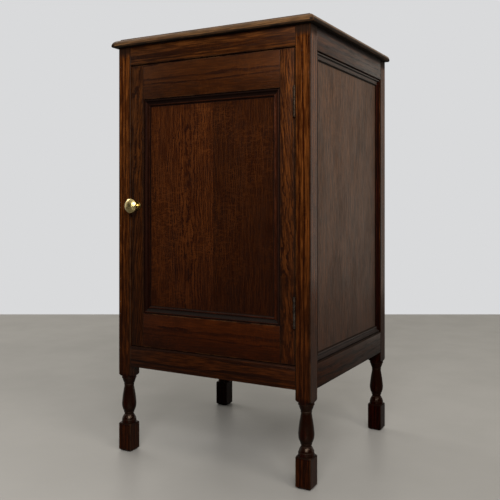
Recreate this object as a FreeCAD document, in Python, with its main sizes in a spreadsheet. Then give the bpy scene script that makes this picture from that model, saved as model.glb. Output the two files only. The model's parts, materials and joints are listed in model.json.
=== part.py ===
import FreeCAD, Part
import os
import re
from collections import namedtuple

import Sketcher

# An oak record cabinet for discs stood on edge in two tiers. Four posts run down into turned legs,
# tenoned rails join them, panels float in grooves, and a panelled door hangs on two butt hinges.
# A tongue on the knob's spindle turns behind a stop strip and holds the door shut.
# Sizes are in millimetres. X runs to the right of someone facing the door, Y runs to the back and
# Z rises from the floor. The origin is the middle of the whole outline on the floor.

SIZES = {
    # Carcass frame
    "carcass_width": 402,
    "carcass_depth": 381,
    "carcass_height": 771,
    "post_size": 28,
    "post_arris": 1.2,
    "rail_thickness": 20,
    "rail_floor_height": 163.5,
    "front_top_rail_width": 36,
    "front_bottom_rail_width": 39,
    "side_top_rail_width": 41,
    "side_bottom_rail_width": 43,
    "rear_rail_width": 40,
    "rear_rail_thickness": 18,
    "tenon_length": 13,
    "tenon_thickness": 8,
    "tenon_setback": 6,
    "tenon_shoulder": 7,
    "joint_clearance": 0.1,
    "mortise_slack": 0.5,
    # Turned leg, from the square block down to the square foot
    "block_drop": 14,
    "pommel_height": 6,
    "collar_radius": 13.8,
    "collar_height": 4.8,
    "cup_radius": 13,
    "cup_height": 11,
    "cup_swell": 0.4,
    "ring_radius": 9.7,
    "ring_height": 2,
    "neck_radius": 9.2,
    "neck_height": 3,
    "belly_radius": 13.7,
    "belly_rise": 16,
    "vase_swell": 0.5,
    "hip_swell": 1.2,
    "fillet_radius": 9.8,
    "fillet_height": 2,
    "waist_radius": 8.6,
    "waist_height": 4.5,
    "bulb_radius": 13.2,
    "bulb_base_radius": 13.7,
    "bulb_height": 14.5,
    "foot_shoulder_height": 3,
    "foot_height": 50.5,
    "foot_chamfer": 3.5,
    # Floating panels and the mouldings planted round them
    "panel_thickness": 8,
    "side_panel_recess": 7,
    "groove_depth": 6,
    "panel_clearance": 0.15,
    "panel_expansion": 1,
    "moulding_width": 13.5,
    "moulding_height": 5,
    "quirk_width": 1,
    "quirk_height": 3.2,
    "bead_width": 3.6,
    "cove_width": 5,
    "cove_height": 1.5,
    "cove_sink": 0.6,
    "inner_bead_width": 2.8,
    "inner_bead_height": 2.9,
    "moulding_edge": 0.9,
    # Top board and its thumbnail edge
    "top_thickness": 16,
    "top_overhang": 10,
    "nose_height": 3.5,
    "nose_under": 2.5,
    "thumb_run": 12.5,
    "thumb_step": 2,
    # Back, floor, shelf and dividers
    "back_panel_thickness": 6,
    "back_rebate_width": 9,
    "bottom_board_thickness": 10,
    "bottom_bearer_size": 14,
    "shelf_thickness": 10,
    "shelf_height": 463.5,
    "shelf_setback": 36,
    "shelf_clearance": 0.3,
    "shelf_bearer_height": 14,
    "bearer_tenon_length": 6,
    "bearer_tenon_thickness": 6,
    "bearer_tenon_shoulder": 3,
    "divider_thickness": 4,
    "divider_front_setback": 44,
    "divider_back_setback": 44,
    "divider_groove": 3,
    "divider_slack": 0.5,
    "scoop_radius": 90,
    "scoop_depth": 26,
    "glue_block_size": 16,
    "glue_block_length": 45,
    "glue_block_spread": 70,
    # Door
    "door_gap": 1.5,
    "door_setback": 1.5,
    "door_thickness": 20,
    "stile_width": 28,
    "door_top_rail_width": 65,
    "door_bottom_rail_width": 63,
    "door_panel_recess": 5.5,
    "door_panel_thickness": 7,
    "door_tenon_length": 18,
    "door_tenon_thickness": 7,
    "door_tenon_setback": 6.5,
    "door_tenon_shoulder": 10,
    "door_stop_thickness": 6,
    "door_stop_width": 9,
    "door_stop_gap": 0.3,
    # Butt hinges
    "hinge_length": 50,
    "hinge_proud": 1.8,
    "leaf_width": 14,
    "leaf_thickness": 1.2,
    "leaf_clearance": 0.4,
    "knuckle_radius": 2.2,
    "knuckle_clearance": 0.2,
    "pin_radius": 1.1,
    "pin_head_radius": 1.9,
    "pin_head_height": 1.2,
    "running_clearance": 0.05,
    # Screws
    "screw_head_radius": 2.5,
    "screw_head_depth": 1.3,
    "screw_shank_radius": 1.2,
    "screw_clearance": 0.08,
    "hinge_screw_length": 12,
    "hinge_screw_pitch": 16,
    "hinge_screw_setback": 8,
    "back_screw_length": 16,
    "back_screw_spread": 120,
    "back_screw_rise": 165,
    "block_screw_length": 24,
    # Knob and latch, measured outward from the face of the door
    "rosette_radius": 8.5,
    "rosette_rim": 1,
    "rosette_thickness": 2,
    "knob_gap": 0.3,
    "knob_collar_radius": 5.2,
    "knob_collar_height": 1.8,
    "knob_stem_radius": 3.7,
    "knob_stem_end": 11,
    "knob_flare_sink": 1.6,
    "knob_head_radius": 13.5,
    "knob_rim_radius": 12.6,
    "knob_back": 18.4,
    "knob_front": 22,
    "knob_projection": 28,
    "spindle_radius": 2.4,
    "spindle_grip": 14,
    "spindle_end": 1,
    "spindle_play": 0.1,
    "spacer_radius": 4.5,
    "spacer_gap": 0.2,
    "tongue_width": 9,
    "tongue_reach": 15,
    "tongue_thickness": 2,
    "tongue_gap": 0.4,
    "nut_radius": 4.6,
    "nut_thickness": 2.6,
    # How far a cutting shape runs past the face that it opens
    "overcut": 1,
}

DIVIDER_BAYS = 5
KNUCKLES = 5
NUT_SIDES = 6
MITRE_ANGLE = 45
# The middle of a quarter round, as shares of its radius from its two tangents.
NEAR_SHARE = "0.293"
FAR_SHARE = "0.707"
POINT_MATCH = 1e-6

# Planes that several pieces share
LEFT = "(-carcass_width / 2)"
RIGHT = "(carcass_width / 2)"
FRONT = "((knob_projection - door_setback - carcass_depth) / 2)"
BACK = f"({FRONT} + carcass_depth)"
TOP = "carcass_height"
FLOOR_TOP = "(rail_floor_height + front_bottom_rail_width)"
INNER_LEFT = f"({LEFT} + post_size)"
INNER_RIGHT = f"({RIGHT} - post_size)"
REAR_RAIL_BACK = f"({BACK} - back_panel_thickness)"
REAR_RAIL_FRONT = f"({REAR_RAIL_BACK} - rear_rail_thickness)"
POST_SPAN = (f"{FRONT} + post_size", f"{BACK} - post_size")
BOARD_UNDER = f"({FLOOR_TOP} - bottom_board_thickness)"
SHELF_TOP = "(shelf_height + shelf_thickness)"
SHELF_SIDE = "(side_panel_recess + panel_thickness + shelf_clearance)"
DOOR_LEFT = f"({INNER_LEFT} + door_gap)"
DOOR_RIGHT = f"({INNER_RIGHT} - door_gap)"
DOOR_BOTTOM = f"({FLOOR_TOP} + door_gap)"
DOOR_TOP = f"({TOP} - front_top_rail_width - door_gap)"
DOOR_FACE = f"({FRONT} + door_setback)"
DOOR_REAR = f"({DOOR_FACE} + door_thickness)"
HINGE_X = f"({INNER_RIGHT} - door_gap / 2)"
HINGE_Y = f"({FRONT} - hinge_proud)"
LEAF_END = f"({DOOR_FACE} + leaf_width)"
# The lower end of each hinge: both line up with the inner edge of a door rail
HINGES = {
    "lower_hinge": f"({DOOR_BOTTOM} + door_bottom_rail_width)",
    "upper_hinge": f"({DOOR_TOP} - door_top_rail_width - hinge_length)",
}
KNOB_X = f"({DOOR_LEFT} + stile_width / 2)"
STOP_FRONT = f"({DOOR_REAR} + door_stop_gap)"
TONGUE_FRONT = f"({STOP_FRONT} + door_stop_thickness + tongue_gap)"
TONGUE_REAR = f"({TONGUE_FRONT} + tongue_thickness)"
KNOB_Z = f"(({DOOR_BOTTOM} + {DOOR_TOP}) / 2)"

# A point that an arc of an outline passes through, between two corners
Via = namedtuple("Via", "x y")
# Where a screw goes in, and the turn that points its axis along its way in
Hole = namedtuple("Hole", "x y z turn")

X_AXIS = FreeCAD.Vector(1, 0, 0)
Y_AXIS = FreeCAD.Vector(0, 1, 0)
Z_AXIS = FreeCAD.Vector(0, 0, 1)
UPWARD = FreeCAD.Rotation()
RIGHTWARD = FreeCAD.Rotation(Y_AXIS, 90)
LEFTWARD = FreeCAD.Rotation(Y_AXIS, -90)
FORWARD = FreeCAD.Rotation(X_AXIS, 90)

doc = FreeCAD.newDocument("RecordCabinet")
sheet = doc.addObject("Spreadsheet::Sheet", "Sizes")
for row, (alias, number) in enumerate(SIZES.items(), 1):
    sheet.set(f"A{row}", alias.replace("_", " "))
    sheet.set(f"B{row}", str(number))
    sheet.setAlias(f"B{row}", alias)
doc.recompute()

nodes = []


def sized(expression):
    """Return a formula with each of its size names pointed at the sheet."""
    return re.sub("[a-z_]+", r"Sizes.\g<0>", expression)


def value(expression):
    """Return the number that a formula comes to."""
    return float(sheet.evalExpression(sized(expression)))


def bind(thing, field, expression):
    """Tie one field of an object to a formula of sizes."""
    thing.setExpression(field, sized(expression))


def place(thing, x, y, z, turn=UPWARD):
    """Turn an object and tie its place to three formulas."""
    thing.Placement = FreeCAD.Placement(FreeCAD.Vector(), turn)
    for axis, expression in zip("xyz", (x, y, z)):
        bind(thing, f"Placement.Base.{axis}", expression)


def keep(piece, label):
    """Name a finished piece and list it for writing."""
    piece.Label = label
    nodes.append(piece)
    return piece


def block(name, x, y, z):
    """Make a box between two formulas on each axis."""
    box = doc.addObject("Part::Box", name)
    for field, (low, high) in zip(("Length", "Width", "Height"), (x, y, z)):
        bind(box, field, f"({high}) - ({low})")
    place(box, x[0], y[0], z[0])
    return box


def rod(name, radius, length, x, y, z, turn=UPWARD):
    """Make a cylinder that starts at a point and runs along a turned axis."""
    cylinder = doc.addObject("Part::Cylinder", name)
    bind(cylinder, "Radius", radius)
    bind(cylinder, "Height", length)
    place(cylinder, x, y, z, turn)
    return cylinder


def fused(name, *pieces):
    """Join pieces, or hold separate ones together as one group."""
    union = doc.addObject("Part::MultiFuse", name)
    union.Shapes = list(pieces)
    union.Refine = True
    return union


def carved(name, base, *tools):
    """Cut shapes out of a piece."""
    cut = doc.addObject("Part::Cut", name)
    cut.Base = base
    cut.Tool = tools[0] if len(tools) == 1 else fused(name + "_cuts", *tools)
    cut.Refine = True
    return cut


def grown(span, amount):
    """Widen a span of two formulas at both ends."""
    return f"{span[0]} - {amount}", f"{span[1]} + {amount}"


def centred(middle, width):
    """Return the span of a width about a middle."""
    return f"{middle} - ({width}) / 2", f"{middle} + ({width}) / 2"


def inward(side, near, far):
    """Return the X span between two depths in from the outer face of one side."""
    if side == "left":
        return f"{LEFT} + {near}", f"{LEFT} + {far}"
    return f"{RIGHT} - ({far})", f"{RIGHT} - ({near})"


def spot(point):
    """Return a sketch point of two formulas as numbers."""
    return FreeCAD.Vector(value(point[0]), value(point[1]), 0)


def pin_point(sketch, geometry, end, point):
    """Tie a point of a sketch to its origin by two distances."""
    for kind, expression in zip(("DistanceX", "DistanceY"), point):
        rule = Sketcher.Constraint(kind, -1, 1, geometry, end, value(expression))
        bind(sketch, f"Constraints[{sketch.addConstraint(rule)}]", expression)


def draw(sketch, path):
    """Close an outline of corner points, with an arc wherever a Via stands between two."""
    corners = [index for index, point in enumerate(path) if not isinstance(point, Via)]
    lines = []
    for index, following in zip(corners, corners[1:] + corners[:1]):
        start = spot(path[index])
        finish = spot(path[following])
        if (following - index) % len(path) == 1:
            line = sketch.addGeometry(Part.LineSegment(start, finish))
        else:
            via = path[index + 1]
            line = sketch.addGeometry(Part.Arc(start, spot(via), finish))
            mark = sketch.addGeometry(Part.Point(spot(via)), True)
            pin_point(sketch, mark, 1, via)
            sketch.addConstraint(Sketcher.Constraint("PointOnObject", mark, 1, line))
        first = 1 if sketch.getPoint(line, 1).isEqual(start, POINT_MATCH) else 2
        pin_point(sketch, line, first, path[index])
        lines.append((line, first))
    for (line, first), (after, joint) in zip(lines, lines[1:] + lines[:1]):
        sketch.addConstraint(Sketcher.Constraint("Coincident", line, 3 - first, after, joint))


def sketched(body, role, path):
    """Draw an outline on one of a body's origin planes."""
    sketch = body.newObject("Sketcher::SketchObject", body.Name + "_outline")
    plane = next(feature for feature in body.Origin.OriginFeatures if feature.Role == role)
    sketch.AttachmentSupport = (plane, [""])
    sketch.MapMode = "FlatFace"
    draw(sketch, path)
    return sketch


def padded(name, role, path, length):
    """Make a body by padding an outline."""
    body = doc.addObject("PartDesign::Body", name)
    outline = sketched(body, role, path)
    pad = body.newObject("PartDesign::Pad", name + "_pad")
    pad.Profile = outline
    bind(pad, "Length", length)
    doc.recompute()
    return body, pad


def spun(name, path):
    """Make a body by turning an outline about the upright axis of its plane."""
    body = doc.addObject("PartDesign::Body", name)
    outline = sketched(body, "XZ_Plane", path)
    turning = body.newObject("PartDesign::Revolution", name + "_turning")
    turning.Profile = outline
    turning.ReferenceAxis = (outline, ["V_Axis"])
    doc.recompute()
    return body


def edge_names(feature, wanted):
    """Name the edges of a feature whose two ends pass a test of their heights."""
    names = []
    for index, edge in enumerate(feature.Shape.Edges, 1):
        heights = [vertex.Point.z for vertex in edge.Vertexes]
        if wanted(min(heights), max(heights)):
            names.append(f"Edge{index}")
    return names


def leg_outline():
    """Return what the lathe takes away between the square block and the square foot."""
    corner = f"(post_size * {FAR_SHARE})"
    block_end = "(rail_floor_height - block_drop)"
    collar = f"({block_end} - pommel_height)"
    cup = f"({collar} - collar_height)"
    ring = f"({cup} - cup_height)"
    neck = f"({ring} - ring_height)"
    vase = f"({neck} - neck_height)"
    shoulder = "(foot_height + foot_shoulder_height)"
    waist = f"({shoulder} + bulb_height)"
    fillet = f"({waist} + waist_height)"
    hip = f"({fillet} + fillet_height)"
    belly = f"({hip} + belly_rise)"
    return [
        ("post_size", block_end),
        (corner, block_end),
        Via(f"collar_radius + ({corner} - collar_radius) * {FAR_SHARE}",
            f"{collar} + pommel_height * {NEAR_SHARE}"),
        ("collar_radius", collar),
        ("collar_radius", cup),
        ("cup_radius", cup),
        Via("(cup_radius + neck_radius) / 2 + cup_swell", f"({cup} + {ring}) / 2"),
        ("neck_radius", ring),
        Via("ring_radius", f"({ring} + {neck}) / 2"),
        ("neck_radius", neck),
        ("neck_radius", vase),
        Via("(neck_radius + belly_radius) / 2 + vase_swell", f"({vase} + {belly}) / 2"),
        ("belly_radius", belly),
        Via("(belly_radius + fillet_radius) / 2 + hip_swell", f"({belly} + {hip}) / 2"),
        ("fillet_radius", hip),
        ("fillet_radius", fillet),
        Via("waist_radius", f"({fillet} + {waist}) / 2"),
        ("fillet_radius", waist),
        Via("bulb_radius", f"({waist} + {shoulder}) / 2"),
        ("bulb_base_radius", shoulder),
        Via(f"bulb_base_radius + ({corner} - bulb_base_radius) * {FAR_SHARE}",
            f"foot_height + foot_shoulder_height * {FAR_SHARE}"),
        (corner, "foot_height"),
        ("post_size", "foot_height"),
    ]


def turned_post(name, x, y):
    """Make a post: a square bar with eased arrises, a chamfered foot and a turned leg."""
    half = "post_size / 2"
    square = [(f"-{half}", f"-{half}"), (half, f"-{half}"), (half, half), (f"-{half}", half)]
    body, bar = padded(name, "XY_Plane", square, TOP)
    chamfer = body.newObject("PartDesign::Chamfer", name + "_foot")
    chamfer.Base = (bar, edge_names(bar, lambda low, high: high < POINT_MATCH))
    bind(chamfer, "Size", "foot_chamfer")
    doc.recompute()
    arris = body.newObject("PartDesign::Fillet", name + "_arris")
    arris.Base = (chamfer, edge_names(chamfer, lambda low, high: high - low > POINT_MATCH))
    bind(arris, "Radius", "post_arris")
    doc.recompute()
    outline = sketched(body, "XZ_Plane", leg_outline())
    groove = body.newObject("PartDesign::Groove", name + "_leg")
    groove.Profile = outline
    groove.ReferenceAxis = (outline, ["V_Axis"])
    doc.recompute()
    if groove.Shape.Volume >= arris.Shape.Volume:
        raise RuntimeError(f"{name}: the leg was not turned")
    place(body, x, y, "0")
    return body


def tenoned(name, spans, tenon, slack_axis, slack):
    """Make a rail's blank with a tenon at each end, and the shape of its two mortises."""
    blank = fused(name + "_blank", block(name + "_bar", *spans), block(name + "_tenon", *tenon))
    socket = [grown(span, slack if axis == slack_axis else "joint_clearance")
              for axis, span in enumerate(tenon)]
    return blank, block(name + "_mortise", *socket)


def cross_rail(name, y, tenon_y, z):
    """Make a rail that runs from side to side between two posts."""
    ends = (f"{INNER_LEFT} - tenon_length", f"{INNER_RIGHT} + tenon_length")
    tenon = (ends, tenon_y, (f"{z[0]} + tenon_shoulder", f"{z[1]} - tenon_shoulder"))
    return tenoned(name, ((INNER_LEFT, INNER_RIGHT), y, z), tenon, 0, "mortise_slack")


def side_rail(name, side, z):
    """Make a rail that runs from front to back between two posts."""
    tenon = (inward(side, "tenon_setback", "(tenon_setback + tenon_thickness)"),
             grown(POST_SPAN, "tenon_length"), (f"{z[0]} + tenon_shoulder", f"{z[1]} - tenon_shoulder"))
    return tenoned(name, (inward(side, "0", "rail_thickness"), POST_SPAN, z), tenon, 1, "mortise_slack")


def screw_forms(name, hole, length, play="0"):
    """Make the head and shank of a countersunk screw, or of its hole with some play."""
    head = doc.addObject("Part::Cone", name + "_head")
    bind(head, "Radius1", f"screw_head_radius + {play}")
    bind(head, "Radius2", f"screw_shank_radius + {play}")
    bind(head, "Height", "screw_head_depth")
    place(head, hole.x, hole.y, hole.z, hole.turn)
    shank = rod(name + "_shank", f"screw_shank_radius + {play}", f"{length} + {play}", *hole)
    return [head, shank]


def screw_group(name, holes, length):
    """Make the screws of a group as separate solids, and the shape of all their holes."""
    screws = []
    sockets = []
    for index, hole in enumerate(holes, 1):
        screws += screw_forms(f"{name}_{index}", hole, length)
        sockets += screw_forms(f"{name}_hole_{index}", hole, length, "screw_clearance")
    keep(fused(name + "_group", *screws), name)
    return fused(name + "_holes", *sockets)


def moulding_outline():
    """Return the section of a moulding, from the frame's edge across to the panel."""
    bead_end = "(quirk_width + bead_width)"
    cove_end = f"({bead_end} + cove_width)"
    inner_end = f"({cove_end} + inner_bead_width)"
    return [
        ("0", "0"),
        ("moulding_width", "0"),
        ("moulding_width", "moulding_edge"),
        (inner_end, "cove_height"),
        Via(f"({cove_end} + {inner_end}) / 2", "inner_bead_height"),
        (cove_end, "cove_height"),
        Via(f"({bead_end} + {cove_end}) / 2", "(quirk_height + cove_height) / 2 - cove_sink"),
        (bead_end, "quirk_height"),
        Via(f"(quirk_width + {bead_end}) / 2", "moulding_height"),
        ("quirk_width", "quirk_height"),
        ("0", "quirk_height"),
    ]


def moulding_strip(name, run, corner, turn):
    """Make one strip with a mitre at each end, laid from a corner of the panel's opening."""
    body, _ = padded(name, "YZ_Plane", moulding_outline(), run)
    for end, x in (("start", "0"), ("end", run)):
        mitre = body.newObject("PartDesign::SubtractiveBox", f"{name}_mitre_{end}")
        for field in ("Length", "Width"):
            bind(mitre, field, "moulding_width * 2")
        bind(mitre, "Height", "moulding_height + 2 * overcut")
        place(mitre, x, "0", "-overcut", FreeCAD.Rotation(Z_AXIS, MITRE_ANGLE))
        doc.recompute()
    place(body, *corner, turn)
    return keep(body, name)


def moulding_frame(names, across, up, corners, width, height):
    """Lay four strips round an opening, anticlockwise from its lower edge as seen from outside."""
    outward = across.cross(up)
    turns = ((across, up), (up, -across), (-across, -up), (-up, across))
    runs = (width, height, width, height)
    for name, run, corner, (along, to_middle) in zip(names, runs, corners, turns):
        moulding_strip(name, run, corner, FreeCAD.Rotation(along, to_middle, outward, "ZXY"))


def thumbnail(edge, into):
    """Return the moulded edge of the top board, from its underside up, at one outer edge."""
    rise = "(top_thickness - thumb_step - nose_height)"
    return [
        (f"{edge} {into} nose_under", "0"),
        Via(f"{edge} {into} nose_under * {NEAR_SHARE}", f"nose_height * {NEAR_SHARE}"),
        (edge, "nose_height"),
        Via(f"{edge} {into} thumb_run * {NEAR_SHARE}", f"nose_height + {rise} * {FAR_SHARE}"),
        (f"{edge} {into} thumb_run", "top_thickness - thumb_step"),
        (f"{edge} {into} thumb_run", "top_thickness"),
    ]


def top_board(cuts):
    """Make the top board where its front-to-back and side-to-side outlines meet."""
    front = f"({FRONT} - top_overhang)"
    left = f"({LEFT} - top_overhang)"
    right = f"({RIGHT} + top_overhang)"
    depth_path = [(BACK, "0")] + thumbnail(front, "+") + [(BACK, "top_thickness")]
    width_path = thumbnail(right, "-") + thumbnail(left, "+")[::-1]
    deep, _ = padded("top_depth", "YZ_Plane", depth_path, f"{right} - {left}")
    place(deep, left, "0", TOP)
    wide, _ = padded("top_width", "XZ_Plane", width_path, f"{BACK} - {front}")
    place(wide, "0", BACK, TOP)
    board = doc.addObject("Part::Common", "top_blank")
    board.Base = deep
    board.Tool = wide
    keep(carved("top_cut", board, *cuts), "top_board")


def side_frame(side):
    """Make one side's rails, panel and mouldings, and return the cuts that its two posts need."""
    low = ("rail_floor_height", "rail_floor_height + side_bottom_rail_width")
    high = (f"{TOP} - side_top_rail_width", TOP)
    bottom, bottom_mortise = side_rail(f"{side}_bottom", side, low)
    top, top_mortise = side_rail(f"{side}_top", side, high)
    sight_z = (low[1], high[0])
    thick = inward(side, "side_panel_recess", "(side_panel_recess + panel_thickness)")
    groove = block(f"{side}_groove", grown(thick, "panel_clearance"),
                   grown(POST_SPAN, "groove_depth"), grown(sight_z, "groove_depth"))
    keep(carved(f"{side}_bottom_cut", bottom, groove), f"{side}_side_bottom_rail")
    keep(carved(f"{side}_top_cut", top, groove), f"{side}_side_top_rail")
    held = "(groove_depth - panel_expansion)"
    keep(block(f"{side}_panel", thick, grown(POST_SPAN, held), grown(sight_z, held)), f"{side}_side_panel")
    across = Y_AXIS if side == "right" else -Y_AXIS
    first, last = POST_SPAN if side == "right" else POST_SPAN[::-1]
    ends = ("bottom", "rear", "top", "front") if side == "right" else ("bottom", "front", "top", "rear")
    face = inward(side, "side_panel_recess", "side_panel_recess")[0]
    corners = [(face, first, sight_z[0]), (face, last, sight_z[0]),
               (face, last, sight_z[1]), (face, first, sight_z[1])]
    moulding_frame([f"{side}_side_moulding_{end}" for end in ends], across, Z_AXIS, corners,
                   f"{POST_SPAN[1]} - ({POST_SPAN[0]})", f"{sight_z[1]} - ({sight_z[0]})")
    return [bottom_mortise, top_mortise, groove]


def front_rails():
    """Make the two rails above and below the door, and return their mortises."""
    thick = (FRONT, f"{FRONT} + rail_thickness")
    tenon = (f"{FRONT} + tenon_setback", f"{FRONT} + tenon_setback + tenon_thickness")
    top, top_mortise = cross_rail("front_top", thick, tenon, (f"{TOP} - front_top_rail_width", TOP))
    bottom, bottom_mortise = cross_rail("front_bottom", thick, tenon, ("rail_floor_height", FLOOR_TOP))
    keep(top, "front_top_rail")
    keep(bottom, "front_bottom_rail")
    return [top_mortise, bottom_mortise]


def back_frame():
    """Make the rear rails, the back panel and its screws, and return the cuts that the posts need."""
    panel_z = ("rail_floor_height", TOP)
    rebate_x = (f"{INNER_LEFT} - back_rebate_width", f"{INNER_RIGHT} + back_rebate_width")
    panel_y = (REAR_RAIL_BACK, BACK)
    rebate = block("back_rebate", grown(rebate_x, "joint_clearance"), (REAR_RAIL_BACK, f"{BACK} + overcut"),
                   (f"{panel_z[0]} - joint_clearance", f"{TOP} + overcut"))
    rail_heights = ("(rail_floor_height + rear_rail_width / 2)", f"({TOP} - rear_rail_width / 2)")
    holes = [Hole(f"{step} * back_screw_spread", BACK, height, FORWARD)
             for height in rail_heights for step in (-1, 0, 1)]
    holes += [Hole(x, BACK, f"shelf_height + {step} * back_screw_rise", FORWARD)
              for x in (f"{INNER_LEFT} - back_rebate_width / 2", f"{INNER_RIGHT} + back_rebate_width / 2")
              for step in (-1, 0, 1)]
    sockets = screw_group("back_panel_screws", holes, "back_screw_length")
    keep(carved("back_cut", block("back_blank", rebate_x, panel_y, panel_z), sockets), "back_panel")
    tenon_y = centred(f"({REAR_RAIL_FRONT} + {REAR_RAIL_BACK}) / 2", "tenon_thickness")
    mortises = []
    for end, height in zip(("bottom", "top"), rail_heights):
        rail, mortise = cross_rail(f"rear_{end}", (REAR_RAIL_FRONT, REAR_RAIL_BACK), tenon_y,
                                   centred(height, "rear_rail_width"))
        keep(carved(f"rear_{end}_cut", rail, sockets), f"rear_{end}_rail")
        mortises.append(mortise)
    return mortises + [rebate, sockets]


def shelf_bearers():
    """Make the two bearers of the shelf, stub-tenoned into the posts, and return their mortises."""
    mortises = {}
    for side in ("left", "right"):
        spans = (inward(side, SHELF_SIDE, "post_size"), POST_SPAN,
                 ("shelf_height - shelf_bearer_height", "shelf_height"))
        middle = f"({spans[0][0]} + {spans[0][1]}) / 2"
        tenon = (centred(middle, "bearer_tenon_thickness"), grown(POST_SPAN, "bearer_tenon_length"),
                 (f"{spans[2][0]} + bearer_tenon_shoulder", f"{spans[2][1]} - bearer_tenon_shoulder"))
        bearer, mortises[side] = tenoned(f"{side}_bearer", spans, tenon, 1, "mortise_slack")
        keep(bearer, f"{side}_shelf_bearer")
    return mortises


def dividers():
    """Make both tiers of dividers, and return the grooves that hold them."""
    pitch = f"(carcass_width - 2 * post_size) / {DIVIDER_BAYS}"
    depth = (f"{FRONT} + divider_front_setback", f"{BACK} - divider_back_setback")
    tiers = {"lower": (FLOOR_TOP, "shelf_height"), "upper": (SHELF_TOP, TOP)}
    grooves = []
    for tier, (floor, roof) in tiers.items():
        sheets = []
        height = (f"{floor} - divider_groove", f"{roof} + divider_groove - divider_slack")
        for number in range(1, DIVIDER_BAYS):
            across = centred(f"({number} - {DIVIDER_BAYS} / 2) * {pitch}", "divider_thickness")
            sheets.append(block(f"{tier}_divider_{number}", across, depth, height))
            grooves.append(block(f"{tier}_groove_{number}", grown(across, "joint_clearance"),
                                 grown(depth, "joint_clearance"), (height[0], f"{roof} + divider_groove")))
        scoop = rod(f"{tier}_scoop", "scoop_radius", "carcass_width", LEFT,
                    f"{depth[0]} + scoop_depth - scoop_radius", f"({floor} + {roof}) / 2", RIGHTWARD)
        keep(carved(f"{tier}_sheets_cut", fused(f"{tier}_sheets", *sheets), scoop), f"{tier}_dividers")
    return grooves


def boards(grooves):
    """Make the bottom board with its bearers, and the shelf."""
    spans = ((f"{LEFT} + rail_thickness", f"{RIGHT} - rail_thickness"),
             (f"{FRONT} + rail_thickness", REAR_RAIL_FRONT), (BOARD_UNDER, FLOOR_TOP))
    notch = "(post_size + joint_clearance)"
    ends = {"front": (FRONT, f"{FRONT} + {notch}"), "rear": (f"{BACK} - {notch}", BACK)}
    notches = [block(f"{end}_{side}_notch", inward(side, "0", notch), ends[end], grown(spans[2], "overcut"))
               for end in ends for side in ("left", "right")]
    keep(carved("bottom_cut", block("bottom_blank", *spans), *notches, *grooves), "bottom_board")
    for side in ("left", "right"):
        across = inward(side, "rail_thickness", "(rail_thickness + bottom_bearer_size)")
        batten = block(f"{side}_batten", across, POST_SPAN,
                       (f"{BOARD_UNDER} - bottom_bearer_size", BOARD_UNDER))
        keep(batten, f"{side}_bottom_bearer")
    shelf = block("shelf_blank", (f"{LEFT} + {SHELF_SIDE}", f"{RIGHT} - {SHELF_SIDE}"),
                  (f"{FRONT} + shelf_setback", f"{BACK} - post_size - shelf_clearance"),
                  ("shelf_height", SHELF_TOP))
    keep(carved("shelf_cut", shelf, *grooves), "shelf")


def glue_blocks():
    """Make the blocks that hold the top board to the rails, and return the holes of their screws."""
    height = (f"{TOP} - glue_block_size", TOP)
    rows = [(f"{FRONT} + rail_thickness", f"{FRONT} + rail_thickness + glue_block_size"),
            (f"{REAR_RAIL_FRONT} - glue_block_size", REAR_RAIL_FRONT)]
    spans = [(centred(f"{sign} * glue_block_spread", "glue_block_length"), row)
             for row in rows for sign in (-1, 1)]
    spans += [(inward(side, "rail_thickness", "(rail_thickness + glue_block_size)"),
               centred(f"({FRONT} + {BACK}) / 2", "glue_block_length")) for side in ("left", "right")]
    holes = [Hole(f"({x[0]} + {x[1]}) / 2", f"({y[0]} + {y[1]}) / 2", height[0], UPWARD) for x, y in spans]
    sockets = screw_group("glue_block_screws", holes, "block_screw_length")
    blanks = [block(f"glue_block_{number}", x, y, height) for number, (x, y) in enumerate(spans, 1)]
    keep(carved("glue_blocks_cut", fused("glue_blocks_blank", *blanks), sockets), "glue_blocks")
    return sockets


def hinge_screws(side, face, turn):
    """Make the screws of both hinges on one side of the gap, and return the shape of their holes."""
    holes = [Hole(face, f"{DOOR_FACE} + hinge_screw_setback",
                  f"{low} + hinge_length / 2 + {step} * hinge_screw_pitch", turn)
             for low in HINGES.values() for step in (-1, 0, 1)]
    return screw_group(f"hinge_{side}_screws", holes, "hinge_screw_length")


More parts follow.
